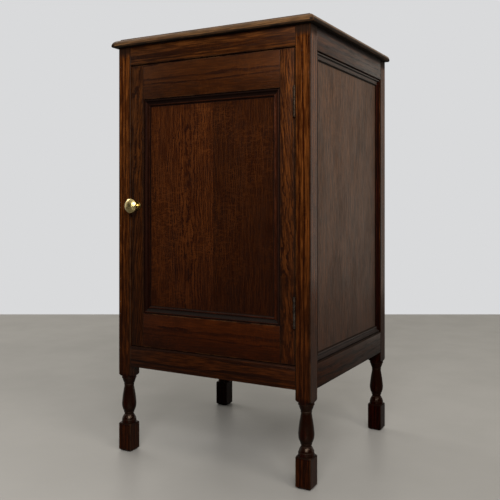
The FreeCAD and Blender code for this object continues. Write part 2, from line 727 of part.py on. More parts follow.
def hinge(name, sockets):
    """Make one butt hinge's leaves and pin, and return its recess in the post and in the stile."""
    low = HINGES[name]
    height = (low, f"{low} + hinge_length")
    plate_y = (f"{HINGE_Y} + knuckle_radius + leaf_clearance", LEAF_END)
    step = f"(hinge_length / {KNUCKLES})"
    bore = rod(f"{name}_bore", "pin_radius + running_clearance", "hinge_length", HINGE_X, HINGE_Y, low)
    sides = {
        "post": ((INNER_RIGHT, f"{INNER_RIGHT} + leaf_thickness"), 0),
        "door": ((f"{DOOR_RIGHT} - leaf_thickness", DOOR_RIGHT), 1),
    }
    cuts = {}
    for side, (thick, first) in sides.items():
        pieces = [block(f"{name}_{side}_plate", thick, plate_y, height)]
        for number in range(first, KNUCKLES, 2):
            span = (f"{low} + {number} * {step} + knuckle_clearance / 2",
                    f"{low} + {number + 1} * {step} - knuckle_clearance / 2")
            pieces.append(block(f"{name}_{side}_neck_{number}", thick, (HINGE_Y, plate_y[0]), span))
            pieces.append(rod(f"{name}_{side}_knuckle_{number}", "knuckle_radius",
                              f"{step} - knuckle_clearance", HINGE_X, HINGE_Y, span[0]))
        leaf = carved(f"{name}_{side}_cut", fused(f"{name}_{side}_blank", *pieces), bore, sockets[side])
        keep(leaf, f"{name}_{side}_leaf")
        cuts[side] = block(f"{name}_{side}_recess", thick,
                           (f"{FRONT} - overcut", f"{LEAF_END} + joint_clearance"),
                           grown(height, "joint_clearance"))
    pin = rod(f"{name}_shaft", "pin_radius", "hinge_length", HINGE_X, HINGE_Y, low)
    heads = [rod(f"{name}_cap_{end}", "pin_head_radius", "pin_head_height", HINGE_X, HINGE_Y, at)
             for end, at in (("low", f"{low} - pin_head_height"), ("high", height[1]))]
    keep(fused(f"{name}_pin_whole", pin, *heads), f"{name}_pin")
    return cuts


def door(hinge_cuts, spindle_hole):
    """Make the door's frame, panel and mouldings."""
    sight_x = (f"{DOOR_LEFT} + stile_width", f"{DOOR_RIGHT} - stile_width")
    sight_z = (f"{DOOR_BOTTOM} + door_bottom_rail_width", f"{DOOR_TOP} - door_top_rail_width")
    thick = (DOOR_FACE, DOOR_REAR)
    tenon_face = f"{DOOR_FACE} + door_tenon_setback"
    tenon_y = (tenon_face, f"{tenon_face} + door_tenon_thickness")
    panel_face = f"{DOOR_FACE} + door_panel_recess"
    panel_y = (panel_face, f"{panel_face} + door_panel_thickness")
    groove = block("door_groove", grown(sight_x, "groove_depth"), grown(panel_y, "panel_clearance"),
                   grown(sight_z, "groove_depth"))
    mortises = []
    for end, z in (("bottom", (DOOR_BOTTOM, sight_z[0])), ("top", (sight_z[1], DOOR_TOP))):
        tenon = (grown(sight_x, "door_tenon_length"), tenon_y,
                 (f"{z[0]} + door_tenon_shoulder", f"{z[1]} - door_tenon_shoulder"))
        rail, mortise = tenoned(f"door_{end}", (sight_x, thick, z), tenon, 0, "mortise_slack")
        keep(carved(f"door_{end}_cut", rail, groove), f"door_{end}_rail")
        mortises.append(mortise)
    full = (DOOR_BOTTOM, DOOR_TOP)
    lock = block("lock_blank", (DOOR_LEFT, sight_x[0]), thick, full)
    keep(carved("lock_cut", lock, groove, spindle_hole, *mortises), "door_lock_stile")
    hanging = block("hinge_blank", (sight_x[1], DOOR_RIGHT), thick, full)
    keep(carved("hinge_cut", hanging, groove, *mortises, *hinge_cuts), "door_hinge_stile")
    held = "(groove_depth - panel_expansion)"
    keep(block("door_sheet", grown(sight_x, held), panel_y, grown(sight_z, held)), "door_panel")
    corners = [(sight_x[0], panel_face, sight_z[0]), (sight_x[1], panel_face, sight_z[0]),
               (sight_x[1], panel_face, sight_z[1]), (sight_x[0], panel_face, sight_z[1])]
    ends = ("bottom", "hinge_side", "top", "lock_side")
    moulding_frame([f"door_moulding_{end}" for end in ends], X_AXIS, Z_AXIS, corners,
                   f"{sight_x[1]} - ({sight_x[0]})", f"{sight_z[1]} - ({sight_z[0]})")


def knob():
    """Make the turned brass knob and its rosette on the face of the door."""
    base = "(rosette_thickness + knob_gap)"
    bore = "(spindle_radius + running_clearance)"
    crown = "(knob_projection - knob_front)"
    ball = f"((knob_rim_radius ^ 2 + {crown} ^ 2) / (2 * {crown}))"
    head = spun("knob", [
        (bore, base),
        ("knob_collar_radius", base),
        ("knob_collar_radius", f"{base} + knob_collar_height"),
        ("knob_stem_radius", f"{base} + knob_collar_height"),
        ("knob_stem_radius", "knob_stem_end"),
        Via("(knob_stem_radius + knob_rim_radius) / 2 - knob_flare_sink",
            "(knob_stem_end + knob_back) / 2 + knob_flare_sink"),
        ("knob_rim_radius", "knob_back"),
        Via("knob_head_radius", "(knob_back + knob_front) / 2"),
        ("knob_rim_radius", "knob_front"),
        Via("knob_rim_radius / 2",
            f"knob_projection - {ball} + ({ball} ^ 2 - knob_rim_radius ^ 2 / 4) ^ 0.5"),
        ("0", "knob_projection"),
        ("0", "spindle_grip"),
        (bore, "spindle_grip"),
    ])
    hole = "(spindle_radius + spindle_play)"
    round_over = "(rosette_thickness - rosette_rim)"
    rosette = spun("knob_rosette", [
        (hole, "0"),
        ("rosette_radius", "0"),
        ("rosette_radius", "rosette_rim"),
        Via(f"rosette_radius - {round_over} * {NEAR_SHARE}", f"rosette_rim + {round_over} * {FAR_SHARE}"),
        (f"rosette_radius - {round_over}", "rosette_thickness"),
        (hole, "rosette_thickness"),
    ])
    for piece in (head, rosette):
        place(piece, KNOB_X, DOOR_FACE, KNOB_Z, FORWARD)
        keep(piece, piece.Name)


def latch():
    """Make what turns with the knob, and return the hole that its spindle needs in the door."""
    inner_end = f"({TONGUE_REAR} + nut_thickness + spindle_end)"
    at = (KNOB_X, inner_end, KNOB_Z, FORWARD)
    spindle = rod("spindle_rod", "spindle_radius", f"{inner_end} - {DOOR_FACE} + spindle_grip", *at)
    keep(spindle, "knob_spindle")
    bore = rod("latch_bore", "spindle_radius + running_clearance", f"{inner_end} - {DOOR_REAR}", *at)
    tube = rod("spacer_tube", "spacer_radius", f"{TONGUE_FRONT} - {DOOR_REAR} - spacer_gap",
               KNOB_X, TONGUE_FRONT, KNOB_Z, FORWARD)
    keep(carved("spacer_cut", tube, bore), "latch_spacer")
    tip = f"{KNOB_Z} - tongue_reach + tongue_width / 2"
    plate = block("tongue_plate", centred(KNOB_X, "tongue_width"), (TONGUE_FRONT, TONGUE_REAR),
                  (tip, KNOB_Z))
    ends = [rod(f"tongue_{end}", "tongue_width / 2", "tongue_thickness",
                KNOB_X, TONGUE_REAR, height, FORWARD)
            for end, height in (("eye", KNOB_Z), ("tip", tip))]
    keep(carved("tongue_cut", fused("tongue_blank", plate, *ends), bore), "latch_tongue")
    nut = doc.addObject("Part::Prism", "nut_blank")
    nut.Polygon = NUT_SIDES
    bind(nut, "Circumradius", "nut_radius")
    bind(nut, "Height", "nut_thickness")
    place(nut, KNOB_X, f"{TONGUE_REAR} + nut_thickness", KNOB_Z, FORWARD)
    keep(carved("nut_cut", nut, bore), "latch_nut")
    keep(block("stop_strip", (INNER_LEFT, f"{INNER_LEFT} + door_stop_width"),
               (STOP_FRONT, f"{STOP_FRONT} + door_stop_thickness"),
               (FLOOR_TOP, f"{TOP} - front_top_rail_width")), "door_stop")
    return rod("spindle_hole", "spindle_radius + spindle_play", "door_thickness",
               KNOB_X, DOOR_REAR, KNOB_Z, FORWARD)


def posts(cuts):
    """Make the four posts, each with its own mortises, grooves and recesses."""
    for end, y in (("front", f"{FRONT} + post_size / 2"), ("rear", f"{BACK} - post_size / 2")):
        for side, x in (("left", f"{LEFT} + post_size / 2"), ("right", f"{RIGHT} - post_size / 2")):
            body = turned_post(f"{end}_{side}_turned", x, y)
            own = cuts[end] + cuts[side] + cuts.get((end, side), [])
            keep(carved(f"{end}_{side}_cut", body, *own), f"{end}_{side}_post")


def write_parts():
    """Check every object of the document, then write each piece to its own file."""
    doc.recompute()
    failed = [thing.Name for thing in doc.Objects if {"Invalid", "Error"} & set(thing.State)]
    failed += [piece.Label for piece in nodes if piece.Shape.isNull() or not piece.Shape.isValid()]
    if failed:
        raise RuntimeError("failed: " + ", ".join(failed))
    os.makedirs("parts", exist_ok=True)
    for piece in nodes:
        piece.Shape.exportStep(f"parts/{piece.Label}.step")
        print(f"{piece.Label}: {len(piece.Shape.Solids)} solids, {piece.Shape.Volume:.0f} mm3")
    print(len(nodes), "nodes")


def main():
    """Build every piece, check it and write it."""
    cuts = {side: side_frame(side) for side in ("left", "right")}
    cuts["front"] = front_rails()
    cuts["rear"] = back_frame()
    for side, mortise in shelf_bearers().items():
        cuts[side].append(mortise)
    grooves = dividers()
    boards(grooves)
    top_board(grooves + [glue_blocks()])
    sockets = {"post": hinge_screws("post", INNER_RIGHT, RIGHTWARD),
               "door": hinge_screws("door", DOOR_RIGHT, LEFTWARD)}
    recesses = [hinge(name, sockets) for name in HINGES]
    cuts["front", "right"] = [sockets["post"]] + [recess["post"] for recess in recesses]
    posts(cuts)
    knob()
    door([sockets["door"]] + [recess["door"] for recess in recesses], latch())
    write_parts()


main()
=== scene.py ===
"""Dress the record cabinet: stained oak, black mouldings, brass and steel, under plain studio light."""

import functools
import json
import logging
import math
from collections.abc import Callable
from dataclasses import dataclass, replace
from enum import Enum

import bmesh
import bpy
from mathutils import Euler, Matrix, Vector

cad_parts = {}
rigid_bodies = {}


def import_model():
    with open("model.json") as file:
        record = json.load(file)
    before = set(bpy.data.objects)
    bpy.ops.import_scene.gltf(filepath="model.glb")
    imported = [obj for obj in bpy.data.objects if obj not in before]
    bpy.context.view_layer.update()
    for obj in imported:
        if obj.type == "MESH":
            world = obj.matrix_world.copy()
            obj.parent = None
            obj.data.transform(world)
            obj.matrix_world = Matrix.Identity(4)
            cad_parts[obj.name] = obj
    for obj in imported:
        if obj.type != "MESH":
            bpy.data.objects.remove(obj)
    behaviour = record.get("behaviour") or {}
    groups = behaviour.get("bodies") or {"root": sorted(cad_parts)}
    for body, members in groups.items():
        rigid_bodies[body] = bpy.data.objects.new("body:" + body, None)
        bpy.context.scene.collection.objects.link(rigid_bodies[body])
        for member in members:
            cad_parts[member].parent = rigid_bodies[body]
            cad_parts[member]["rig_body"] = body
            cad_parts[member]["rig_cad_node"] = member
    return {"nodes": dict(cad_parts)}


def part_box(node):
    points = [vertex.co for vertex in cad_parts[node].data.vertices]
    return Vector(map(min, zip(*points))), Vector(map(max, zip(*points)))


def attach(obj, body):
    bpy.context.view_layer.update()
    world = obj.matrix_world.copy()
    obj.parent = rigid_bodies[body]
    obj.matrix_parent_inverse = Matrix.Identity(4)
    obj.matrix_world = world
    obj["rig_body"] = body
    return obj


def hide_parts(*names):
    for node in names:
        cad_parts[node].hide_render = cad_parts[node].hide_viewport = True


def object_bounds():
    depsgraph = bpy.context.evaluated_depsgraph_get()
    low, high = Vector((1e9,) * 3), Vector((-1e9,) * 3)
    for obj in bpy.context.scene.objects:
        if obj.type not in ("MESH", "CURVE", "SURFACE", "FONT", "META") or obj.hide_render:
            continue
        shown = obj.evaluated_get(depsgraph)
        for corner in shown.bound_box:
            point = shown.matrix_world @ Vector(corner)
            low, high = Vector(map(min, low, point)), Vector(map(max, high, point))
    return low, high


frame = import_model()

Colour = tuple[float, float, float, float]
Triple = tuple[float, float, float]
Pair = tuple[float, float]
Box = tuple[Vector, Vector]
Tree = bpy.types.NodeTree
Node = bpy.types.Node
Socket = bpy.types.NodeSocket
Outputs = bpy.types.NodeOutputs
Material = bpy.types.Material
Piece = bpy.types.Object

CAD_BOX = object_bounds()
MM = 0.001
# How far frames and mouldings cover a panel's edges
PANEL_COVER = 19.0 * MM
# Points that lie closer than this are one point
MERGE = 0.002 * MM
# How near a plane a point lies in it, and how steep a level face's normal is
NEAR = 0.1 * MM
LEVEL = 0.9
# Faces that meet more gently than this are shaded as one round
SMOOTH_ANGLE = math.radians(40)
# Arrises that are eased: how sharp and how long they are at least
SQUARE_ANGLE = math.radians(60)
SHORTEST_ARRIS = 5 * MM
# How far each screw's slot is turned past the last one's
GOLDEN_TURN = math.radians(137.5)
# How far apart logs lie in the pattern, and where a second board of a panel is cut from
LOG_STEP = 0.37
NEXT_BOARD: Triple = (0.21, 0.09, 0.53)
# How high above the floor the painted shade near the floor ends and the stained wood has its full colour
FADE_HEIGHT = 0.75
# The heights over which the dark band begins at its bottom and ends at its top
DARK_BAND_ENDS: Pair = (2.0 * MM, 8.0 * MM)
# How far in from a board's two ends dirt thins out, and how far in it lies full
FLANK_ENDS: Pair = (9.0 * MM, 6.0 * MM)
# What the stain's colour is multiplied by: near the floor as painted shade with some dirt, in a darker,
# redder band low on the legs, and in slow clouds
LOW_SHADE_TINT: Triple = (1.35, 0.88, 0.62)
DARK_BAND_TINT: Colour = (0.08, 0.0, 0.0, 1.0)
CLOUD_TINT: Colour = (0.55, 0.52, 0.5, 1.0)
WHITE: Colour = (1.0, 1.0, 1.0, 1.0)

log = logging.getLogger("record_cabinet")


class Grain(Enum):
    """The way that a piece's grain runs, as the turn that lays it along Z of the pattern."""

    ALONG_X = (0.0, -math.pi / 2, 0.0)
    ALONG_Y = (math.pi / 2, 0.0, 0.0)
    ALONG_Z = (0.0, 0.0, 0.0)


class Wiring:
    """A node tree with short ways to add nodes to it."""

    def __init__(self, tree: Tree) -> None:
        """Keep the tree that nodes go into."""
        self.tree = tree

    def feed(self, node: Node, sockets: dict) -> None:
        """Feed a node's inputs.

        Args:
            node: the node to feed.
            sockets: what feeds each input: an output socket, or a plain value.
        """
        for name, source in sockets.items():
            if isinstance(source, Socket):
                self.tree.links.new(source, node.inputs[name])
            else:
                node.inputs[name].default_value = source

    def add(self, kind: str, sockets: dict | None = None, **settings: object) -> Node:
        """Add one shader node.

        Args:
            kind: the node's type without its ShaderNode prefix.
            sockets: what feeds its inputs.
            settings: the node's own properties.

        Returns:
            The new node.
        """
        node = self.tree.nodes.new("ShaderNode" + kind)
        for name, setting in settings.items():
            setattr(node, name, setting)
        self.feed(node, sockets or {})
        return node

    def reckon(self, operation: str, *terms: object) -> Socket:
        """Work through sockets or numbers with Math nodes, and return the result."""
        result = self.add("Math", dict(enumerate(terms[:2])), operation=operation).outputs[0]
        return self.reckon(operation, result, *terms[2:]) if terms[2:] else result

    times = functools.partialmethod(reckon, "MULTIPLY")
    plus = functools.partialmethod(reckon, "ADD")
    most = functools.partialmethod(reckon, "MAXIMUM")

    def parts(self, vector: object) -> Outputs:
        """Return the sockets that hold a vector's X, Y and Z."""
        return self.add("SeparateXYZ", {0: vector}).outputs

    def vector(self, operation: str, *terms: object) -> Socket:
        """Add a Vector Math node for sockets or triples, and return the resulting vector."""
        return self.add("VectorMath", dict(enumerate(terms)), operation=operation).outputs[0]

    def ease(self, value: object, start: object, end: object, low: float = 0.0, high: float = 1.0) -> Socket:
        """Map a value smoothly from start and end to low and high, and hold it past both."""
        sockets = {"Value": value, "From Min": start, "From Max": end, "To Min": low, "To Max": high}
        return self.add("MapRange", sockets, interpolation_type="SMOOTHSTEP").outputs["Result"]

    def mix(self, share: object, first: object, second: object, mode: str = "MIX") -> Socket:
        """Lay a share of the second colour over the first, or what the mode makes of the two."""
        sockets = {0: share, 6: first, 7: second}
        return self.add("Mix", sockets, data_type="RGBA", blend_type=mode).outputs[2]

    def ramp(self, value: object, stops: tuple[Pair, ...]) -> Socket:
        """Map a value through a row of stops.

        Args:
            value: the socket to map.
            stops: where each stop lies, and what it gives.

        Returns:
            The socket that holds the result.
        """
        node = self.add("ValToRGB", {"Fac": value})
        points = node.color_ramp.elements
        points[0].position, points[1].position = stops[0][0], stops[-1][0]
        for place, _ in stops[1:-1]:
            points.new(place)
        for point, (_, level) in zip(points, stops):
            point.color = (level, level, level, 1.0)
        return node.outputs[0]

    def group(self, effect: "EffectGroup", sockets: dict) -> Outputs:
        """Place an effect's node group, and return the sockets that it puts out."""
        return self.add("Group", sockets, node_tree=effect.tree()).outputs


class EffectGroup:
    """A shader node group with named inputs and outputs, filled by a subclass and built once."""

    name = ""
    inputs: dict[str, str] = {}
    outputs: tuple[str, ...] = ()

    def tree(self) -> Tree:
        """Return the group's tree, building it when it is first asked for."""
        return bpy.data.node_groups.get(self.name) or self._build()

    def _build(self) -> Tree:
        """Make the sockets and fill the group.

        Returns:
            The finished tree.
        """
        tree = bpy.data.node_groups.new(self.name, "ShaderNodeTree")
        for name, kind in self.inputs.items():
            tree.interface.new_socket(name, in_out="INPUT", socket_type="NodeSocket" + kind)
        for name in self.outputs:
            tree.interface.new_socket(name, in_out="OUTPUT", socket_type="NodeSocketFloat")
        given = tree.nodes.new("NodeGroupInput").outputs
        result = tree.nodes.new("NodeGroupOutput")
        for name, source in self.fill(Wiring(tree), given).items():
            tree.links.new(source, result.inputs[name])
        return tree

    def fill(self, wires: Wiring, given: Outputs) -> dict[str, Socket]:
        """Lay the group's nodes out from its inputs, and return what feeds each output."""
        raise NotImplementedError


@dataclass(frozen=True)
class Speckle:
    """Cloudy noise that is cut down to a mask.

    Attributes:
        number: how many clouds there are to the metre.
        edges: the noise at the start of the mask, and the noise where it is full.
        detail: how many finer layers it has.
        run: how it is squeezed, so that a small share along Z draws it out along the grain.
        wander: how far it is bent.
    """

    number: float | Socket
    edges: Pair
    detail: float
    run: Triple = (1.0, 1.0, 1.0)
    wander: float = 0.0

    def mask(self, wires: Wiring, place: Socket, low: float = 0.0, high: float = 1.0) -> Socket:
        """Lay the noise out at a place, and return its mask from low to high."""
        sockets = {"Vector": wires.vector("MULTIPLY", place, self.run), "Scale": self.number,
                   "Detail": self.detail, "Distortion": self.wander}
        return wires.ease(wires.add("TexNoise", sockets).outputs[0], *self.edges, low, high)


class OakGrain(EffectGroup):
    """Growth rings, fibres, open pores and ray flecks of oak whose grain runs along Z."""

    name = "oak_grain"
    inputs = {"Vector": "Vector", "Run": "Vector", "Rings": "Float", "Sway": "Float", "Fleck": "Float"}
    outputs = ("Band", "Fibre", "Pore", "Fleck", "Cloud")
    mottle = Speckle(62.0, (0.34, 0.6), 3.0, (1.0, 1.0, 0.5))
    fibres = Speckle(400.0, (0.38, 0.62), 4.0, (1.0, 1.0, 0.07))
    short_pores = Speckle(1150.0, (0.56, 0.66), 1.0, (1.0, 1.0, 0.055))
    long_pores = Speckle(520.0, (0.5, 0.6), 2.0, (1.0, 1.0, 0.07))
    bars = Speckle(210.0, (0.46, 0.64), 2.0, (0.34, 0.34, 1.0), 1.4)
    patches = Speckle(11.0, (0.42, 0.64), 1.0)
    clouds = Speckle(24.0, (0.3, 0.7), 3.0, (1.0, 1.0, 0.35))

    def fill(self, wires: Wiring, given: Outputs) -> dict[str, Socket]:
        """Lay out the grain.

        Args:
            wires: where the nodes go.
            given: the group's inputs.

        Returns:
            Masks from 0 to 1: late wood, fibres, pores, flecks and slow clouds of colour.
        """
        place = given["Vector"]
        drawn = wires.vector("MULTIPLY", place, given["Run"])
        rings = wires.add("TexWave", {
            "Vector": drawn, "Scale": given["Rings"], "Distortion": given["Sway"],
            "Detail": 4.0, "Detail Scale": 0.42, "Detail Roughness": 0.62,
        }, wave_type="RINGS", rings_direction="Z", wave_profile="SAW").outputs["Fac"]
        band = wires.times(wires.ease(rings, 0.08, 0.5), wires.ease(rings, 1.0, 0.9))
        clear = self.mottle.mask(wires, drawn, 0.45, 1.0)
        late = wires.add("Mix", {0: clear, 2: 0.55, 3: band}, data_type="FLOAT").outputs[0]
        pores = wires.most(self.short_pores.mask(wires, place), self.long_pores.mask(wires, place, 0.0, 0.85))
        bars = wires.times(self.bars.mask(wires, place), self.patches.mask(wires, place))
        return {
            "Band": late,
            "Fibre": self.fibres.mask(wires, place),
            "Pore": wires.times(pores, wires.ease(late, 0.85, 0.2, 0.45, 1.0)),
            "Fleck": wires.times(bars, given["Fleck"]),
            "Cloud": self.clouds.mask(wires, place),
        }


class ArrisWearAndShade(EffectGroup):
    """Wear, grime and dark joints by the distance from the nearest arris of a squared piece, and painted
    shade in its hollows.
    """

    name = "arris_wear_and_shade"
    inputs = {"Vector": "Vector", "Low": "Vector", "High": "Vector", "Reach": "Float", "Margin": "Float"}
    outputs = ("Wear", "Seam", "Grime", "Hollow")
    rubs = Speckle(55.0, (0.38, 0.66), 4.0)
    smears = Speckle(32.0, (0.3, 0.72), 3.0)
    # How far below a piece's faces the painted shade in a hollow starts and is at its darkest
    hollow_start, hollow_full = 0.72 * MM, 2.16 * MM

    def fill(self, wires: Wiring, given: Outputs) -> dict[str, Socket]:
        """Lay out the wear.

        Args:
            wires: where the nodes go.
            given: the group's inputs.

        Returns:
            Masks from 0 to 1: rubbed arrises, dark lines along them, a margin of grime, and painted shade in
                hollows.
        """
        place = given["Vector"]
        below = wires.vector("SUBTRACT", place, given["Low"])
        above = wires.vector("SUBTRACT", given["High"], place)
        near = wires.parts(wires.vector("MINIMUM", below, above))
        lesser = wires.reckon("MINIMUM", near[0], near[1])
        greater = wires.most(near[0], near[1])
        distance = wires.most(lesser, wires.reckon("MINIMUM", greater, near[2]))
        share = wires.reckon("DIVIDE", distance, given["Reach"])
        depth = wires.reckon("MINIMUM", lesser, near[2])
        return {
            "Wear": wires.times(wires.ease(share, 1.0, 0.1), self.rubs.mask(wires, place)),
            "Seam": wires.ease(share, 0.55, 0.2),
            "Grime": wires.times(wires.ease(distance, given["Margin"], 0.0), self.smears.mask(wires, place)),
            "Hollow": wires.ease(depth, self.hollow_start, self.hollow_full),
        }


class MetalSkin(EffectGroup):
    """Tarnish, smudges and fine scratches on metal."""

    name = "metal_skin"
    inputs = {"Vector": "Vector", "Patch": "Float"}
    outputs = ("Tarnish", "Smudge", "Scratch")
    smudges = Speckle(170.0, (0.35, 0.7), 3.0, wander=0.8)
    scratches = Speckle(3200.0, (0.6, 0.72), 2.0, (1.0, 0.12, 0.3))

    def fill(self, wires: Wiring, given: Outputs) -> dict[str, Socket]:
        """Lay out the skin.

        Args:
            wires: where the nodes go.
            given: the group's inputs.

        Returns:
            Masks from 0 to 1: aged patches, dull patches and scratches.
        """
        place = given["Vector"]
        tarnish = Speckle(given["Patch"], (0.45, 0.68), 5.0, wander=0.4)
        return {
            "Tarnish": tarnish.mask(wires, place),
            "Smudge": self.smudges.mask(wires, place),
            "Scratch": self.scratches.mask(wires, place),
        }


def new_material(name: str) -> tuple[Material, Wiring, Node]:
    """Start a material with a Principled shader.

    Args:
        name: the material's name.

    Returns:
        The material, its wiring and its shader node.
    """
    material = bpy.data.materials.new(name)
    material.use_nodes = True
    tree = material.node_tree
    return material, Wiring(tree), tree.nodes["Principled BSDF"]


@dataclass(frozen=True)
class Cut:
    """How a piece was sawn from its log, seen with the grain along Z.

    Attributes:
        grain: the way that the grain runs in the cabinet.
        pith: where the middle of the log lies across the grain, from the piece's own middle.
        rings: how close the growth rings are.
        sway: how far they wander.
        flame: how soon the figure changes along the grain.
        slant: how far the grain leans over, in degrees.
        fleck: how much ray figure shows.
        tone: how light the piece is: the stain it took, and on some pieces painted light or shade.
        contrast: how strongly the rings show.
        second: how light a second board is, joined on past the piece's middle.
    """

    grain: Grain
    pith: Pair = (0.02, 0.16)
    rings: float = 50.0
    sway: float = 7.0
    flame: float = 0.14
    slant: float = 0.0
    fleck: float = 0.25
    tone: float = 1.0
    contrast: float = 1.0
    second: float = 1.0

    def turn(self) -> Euler:
        """Return the turn that lays the piece back into its log."""
        slant = Matrix.Rotation(math.radians(self.slant), 3, "Y")
        return (slant @ Euler(self.grain.value).to_matrix()).to_euler()


@dataclass(frozen=True)
class OakFinish:
    """Stained oak under a thin polish.

    Attributes:
        early, late: the colours of the open early wood and the dense late wood.
        pore: the colour that the pores hold, and that dirt and painted shade darken the wood toward.
        worn: the colour where the polish is rubbed through.
        roughness: the polish at its smoothest and roughest.
        gloss: how strongly the polish mirrors.
        lacquer: the tint of the polish.
        low_shade_level: how light the wood stays near the floor, where shade is painted, with some dirt.
        dark_band: the lowest and highest point of a band that is darker and redder, and how strongly.
        reach: how far in from the arrises they are rubbed or dark.
        wear: how strongly arrises are rubbed.
        grime: how strongly dirt lies along arrises.
        margin: how far in from the arrises it reaches.
        relief: the depth of the open grain, in metres.
        join: how far past the middle a second board starts.
        hollow: how strongly shade is painted into what lies below a piece's faces.
        seam: how dark the joints along its arrises are.
        skirt, eaves: how far in from a piece's lower and upper edge shade is painted, under overhangs and
            along gaps.
        section: how much shade is painted on a strip at each part of its width, from its outer edge inward.
        mirrored: whether the strip's outer edge lies at the high end of its width.
        flank: how far up shade is painted along a board's lower edge at its two ends.
        lines: the heights of painted shade lines at the turned grooves and waist, each with half its width.
    """

    early: Colour
    late: Colour
    pore: Colour
    worn: Colour
    roughness: Pair = (0.36, 0.54)
    gloss: float = 0.24
    lacquer: Colour = (1.0, 0.6, 0.45, 1.0)
    low_shade_level: float = 0.25
    dark_band: Triple = (0.0, 0.0, 0.0)
    reach: float = 2.4 * MM
    wear: float = 0.22
    grime: float = 0.5
    margin: float = 20.0 * MM
    relief: float = 0.2 * MM
    join: float = 8.0 * MM
    hollow: float = 0.5
    seam: float = 0.8
    skirt: float = 0.0
    eaves: float = 0.0
    section: tuple[Pair, ...] = ()
    mirrored: bool = False
    flank: float = 0.0
    lines: tuple[Pair, ...] = ()
    # How strongly each layer of the figure shows
    bands, streaks, clouds, flecks, pores = 0.9, 0.7, 0.4, 0.5, 0.6
    # How strongly pores, clouds, painted shade and joints dull the polish
    dull_pores, dull_clouds, dull_dirt, dull_seams = 0.6, 0.4, 0.5, 0.4
    # How high fibres stand and how deep the relief sinks where shade is painted, for a pore that is 1 deep
    fibre_rise, dirt_depth = 0.25, 2.0
    # Where each kind of painted shade is full, as a share of its reach
    full_skirt, full_eaves, full_flank, full_line = 0.6, 0.4, 0.7, 0.4

    def material(self, name: str, cut: Cut, seed: int, box: Box) -> Material:
        """Make the finish for one piece.

        Args:
            name: the material's name.
            cut: how the piece was sawn.
            seed: which log it came from.
            box: the piece's lowest and highest corner.

        Returns:
            The material.
        """
        material, wires, shader = new_material(name)
        place = wires.add("TexCoord").outputs["Object"]
        turn = cut.turn()
        middle = (box[0] + box[1]) / 2
        middle.rotate(turn)
        shift = Vector((*cut.pith, LOG_STEP * seed)) - middle
        laid = wires.add("Mapping", {"Vector": place, "Rotation": turn, "Location": shift}).outputs[0]
        second = wires.reckon("GREATER_THAN", wires.parts(laid)[0], cut.pith[0] + self.join)
        moved = wires.add("VectorMath", {0: NEXT_BOARD, "Scale": second}, operation="SCALE").outputs[0]
        grain = wires.group(OakGrain(), {
            "Vector": wires.vector("ADD", laid, moved), "Run": (1.0, 1.0, cut.flame),
            "Rings": cut.rings, "Sway": cut.sway, "Fleck": cut.fleck,
        })
        edges = wires.group(ArrisWearAndShade(), {
            "Vector": place, "Low": box[0], "High": box[1], "Reach": self.reach, "Margin": self.margin,
        })
        painted_shade = self._painted_shade_mask(wires, place, box)
        stain = wires.ease(second, 0.0, 1.0, cut.tone, cut.tone * cut.second)
        stained = wires.mix(1.0, self._wood(wires, grain, cut), stain, "MULTIPLY")
        low_shaded = wires.mix(1.0, stained, self._low_shade_and_band(wires, place), "MULTIPLY")
        # Real grime and dark joints, with painted shade in hollows, under overhangs, by gaps and in grooves,
        # darken the wood toward the pore colour
        dirt_and_shade_mix = wires.most(wires.times(edges["Hollow"], self.hollow), wires.times(edges["Seam"], self.seam),
                             wires.times(edges["Grime"], self.grime), painted_shade)
        dirt_and_shade_colour = wires.mix(dirt_and_shade_mix, low_shaded, self.pore)
        uneven = wires.plus(wires.times(grain["Pore"], self.dull_pores),
                            wires.times(grain["Cloud"], self.dull_clouds))
        relief = wires.reckon("SUBTRACT", wires.times(grain["Fibre"], self.fibre_rise),
                              wires.plus(grain["Pore"], wires.times(painted_shade, self.dirt_depth)))
        bump = wires.add("Bump", {"Height": relief, "Strength": 0.4, "Distance": self.relief})
        wires.feed(shader, {
            "Base Color": wires.mix(wires.times(edges["Wear"], self.wear), dirt_and_shade_colour, self.worn),
            "Roughness": wires.plus(wires.ease(uneven, 0.0, 1.0, *self.roughness),
                                    wires.times(painted_shade, self.dull_dirt),
                                    wires.times(edges["Seam"], self.dull_seams * self.seam)),
            "Normal": bump.outputs[0], "Specular IOR Level": self.gloss, "Specular Tint": self.lacquer,
        })
        return material

    def _wood(self, wires: Wiring, grain: Outputs, cut: Cut) -> Socket:
        """Colour the rings, fibres, clouds, flecks and pores.

        Args:
            wires: the material's wiring.
            grain: the masks of the grain.
            cut: how the piece was sawn.

        Returns:
            The socket that holds the colour.
        """
        banded = wires.mix(wires.times(grain["Band"], self.bands * cut.contrast), self.early, self.late)
        streaks = wires.ease(grain["Fibre"], 0.0, 1.0, self.streaks * min(1.0, cut.contrast), 0.0)
        streaked = wires.mix(streaks, banded, self.early)
        clouds = wires.ease(grain["Cloud"], 0.0, 1.0, 0.0, self.clouds)
        clouded = wires.mix(clouds, streaked, CLOUD_TINT, "MULTIPLY")
        flecked = wires.mix(wires.times(grain["Fleck"], self.flecks), clouded, self.late)
        return wires.mix(wires.times(grain["Pore"], self.pores), flecked, self.pore)

    def _low_shade_and_band(self, wires: Wiring, place: Socket) -> Socket:
        """Find what the wood's colour is multiplied by at each height: painted shade with some dirt near the
        floor, and the dark band.

        Args:
            wires: the material's wiring.
            place: the socket that holds a point.

        Returns:
            The socket that holds the tint.
        """
        height = wires.parts(place)[2]
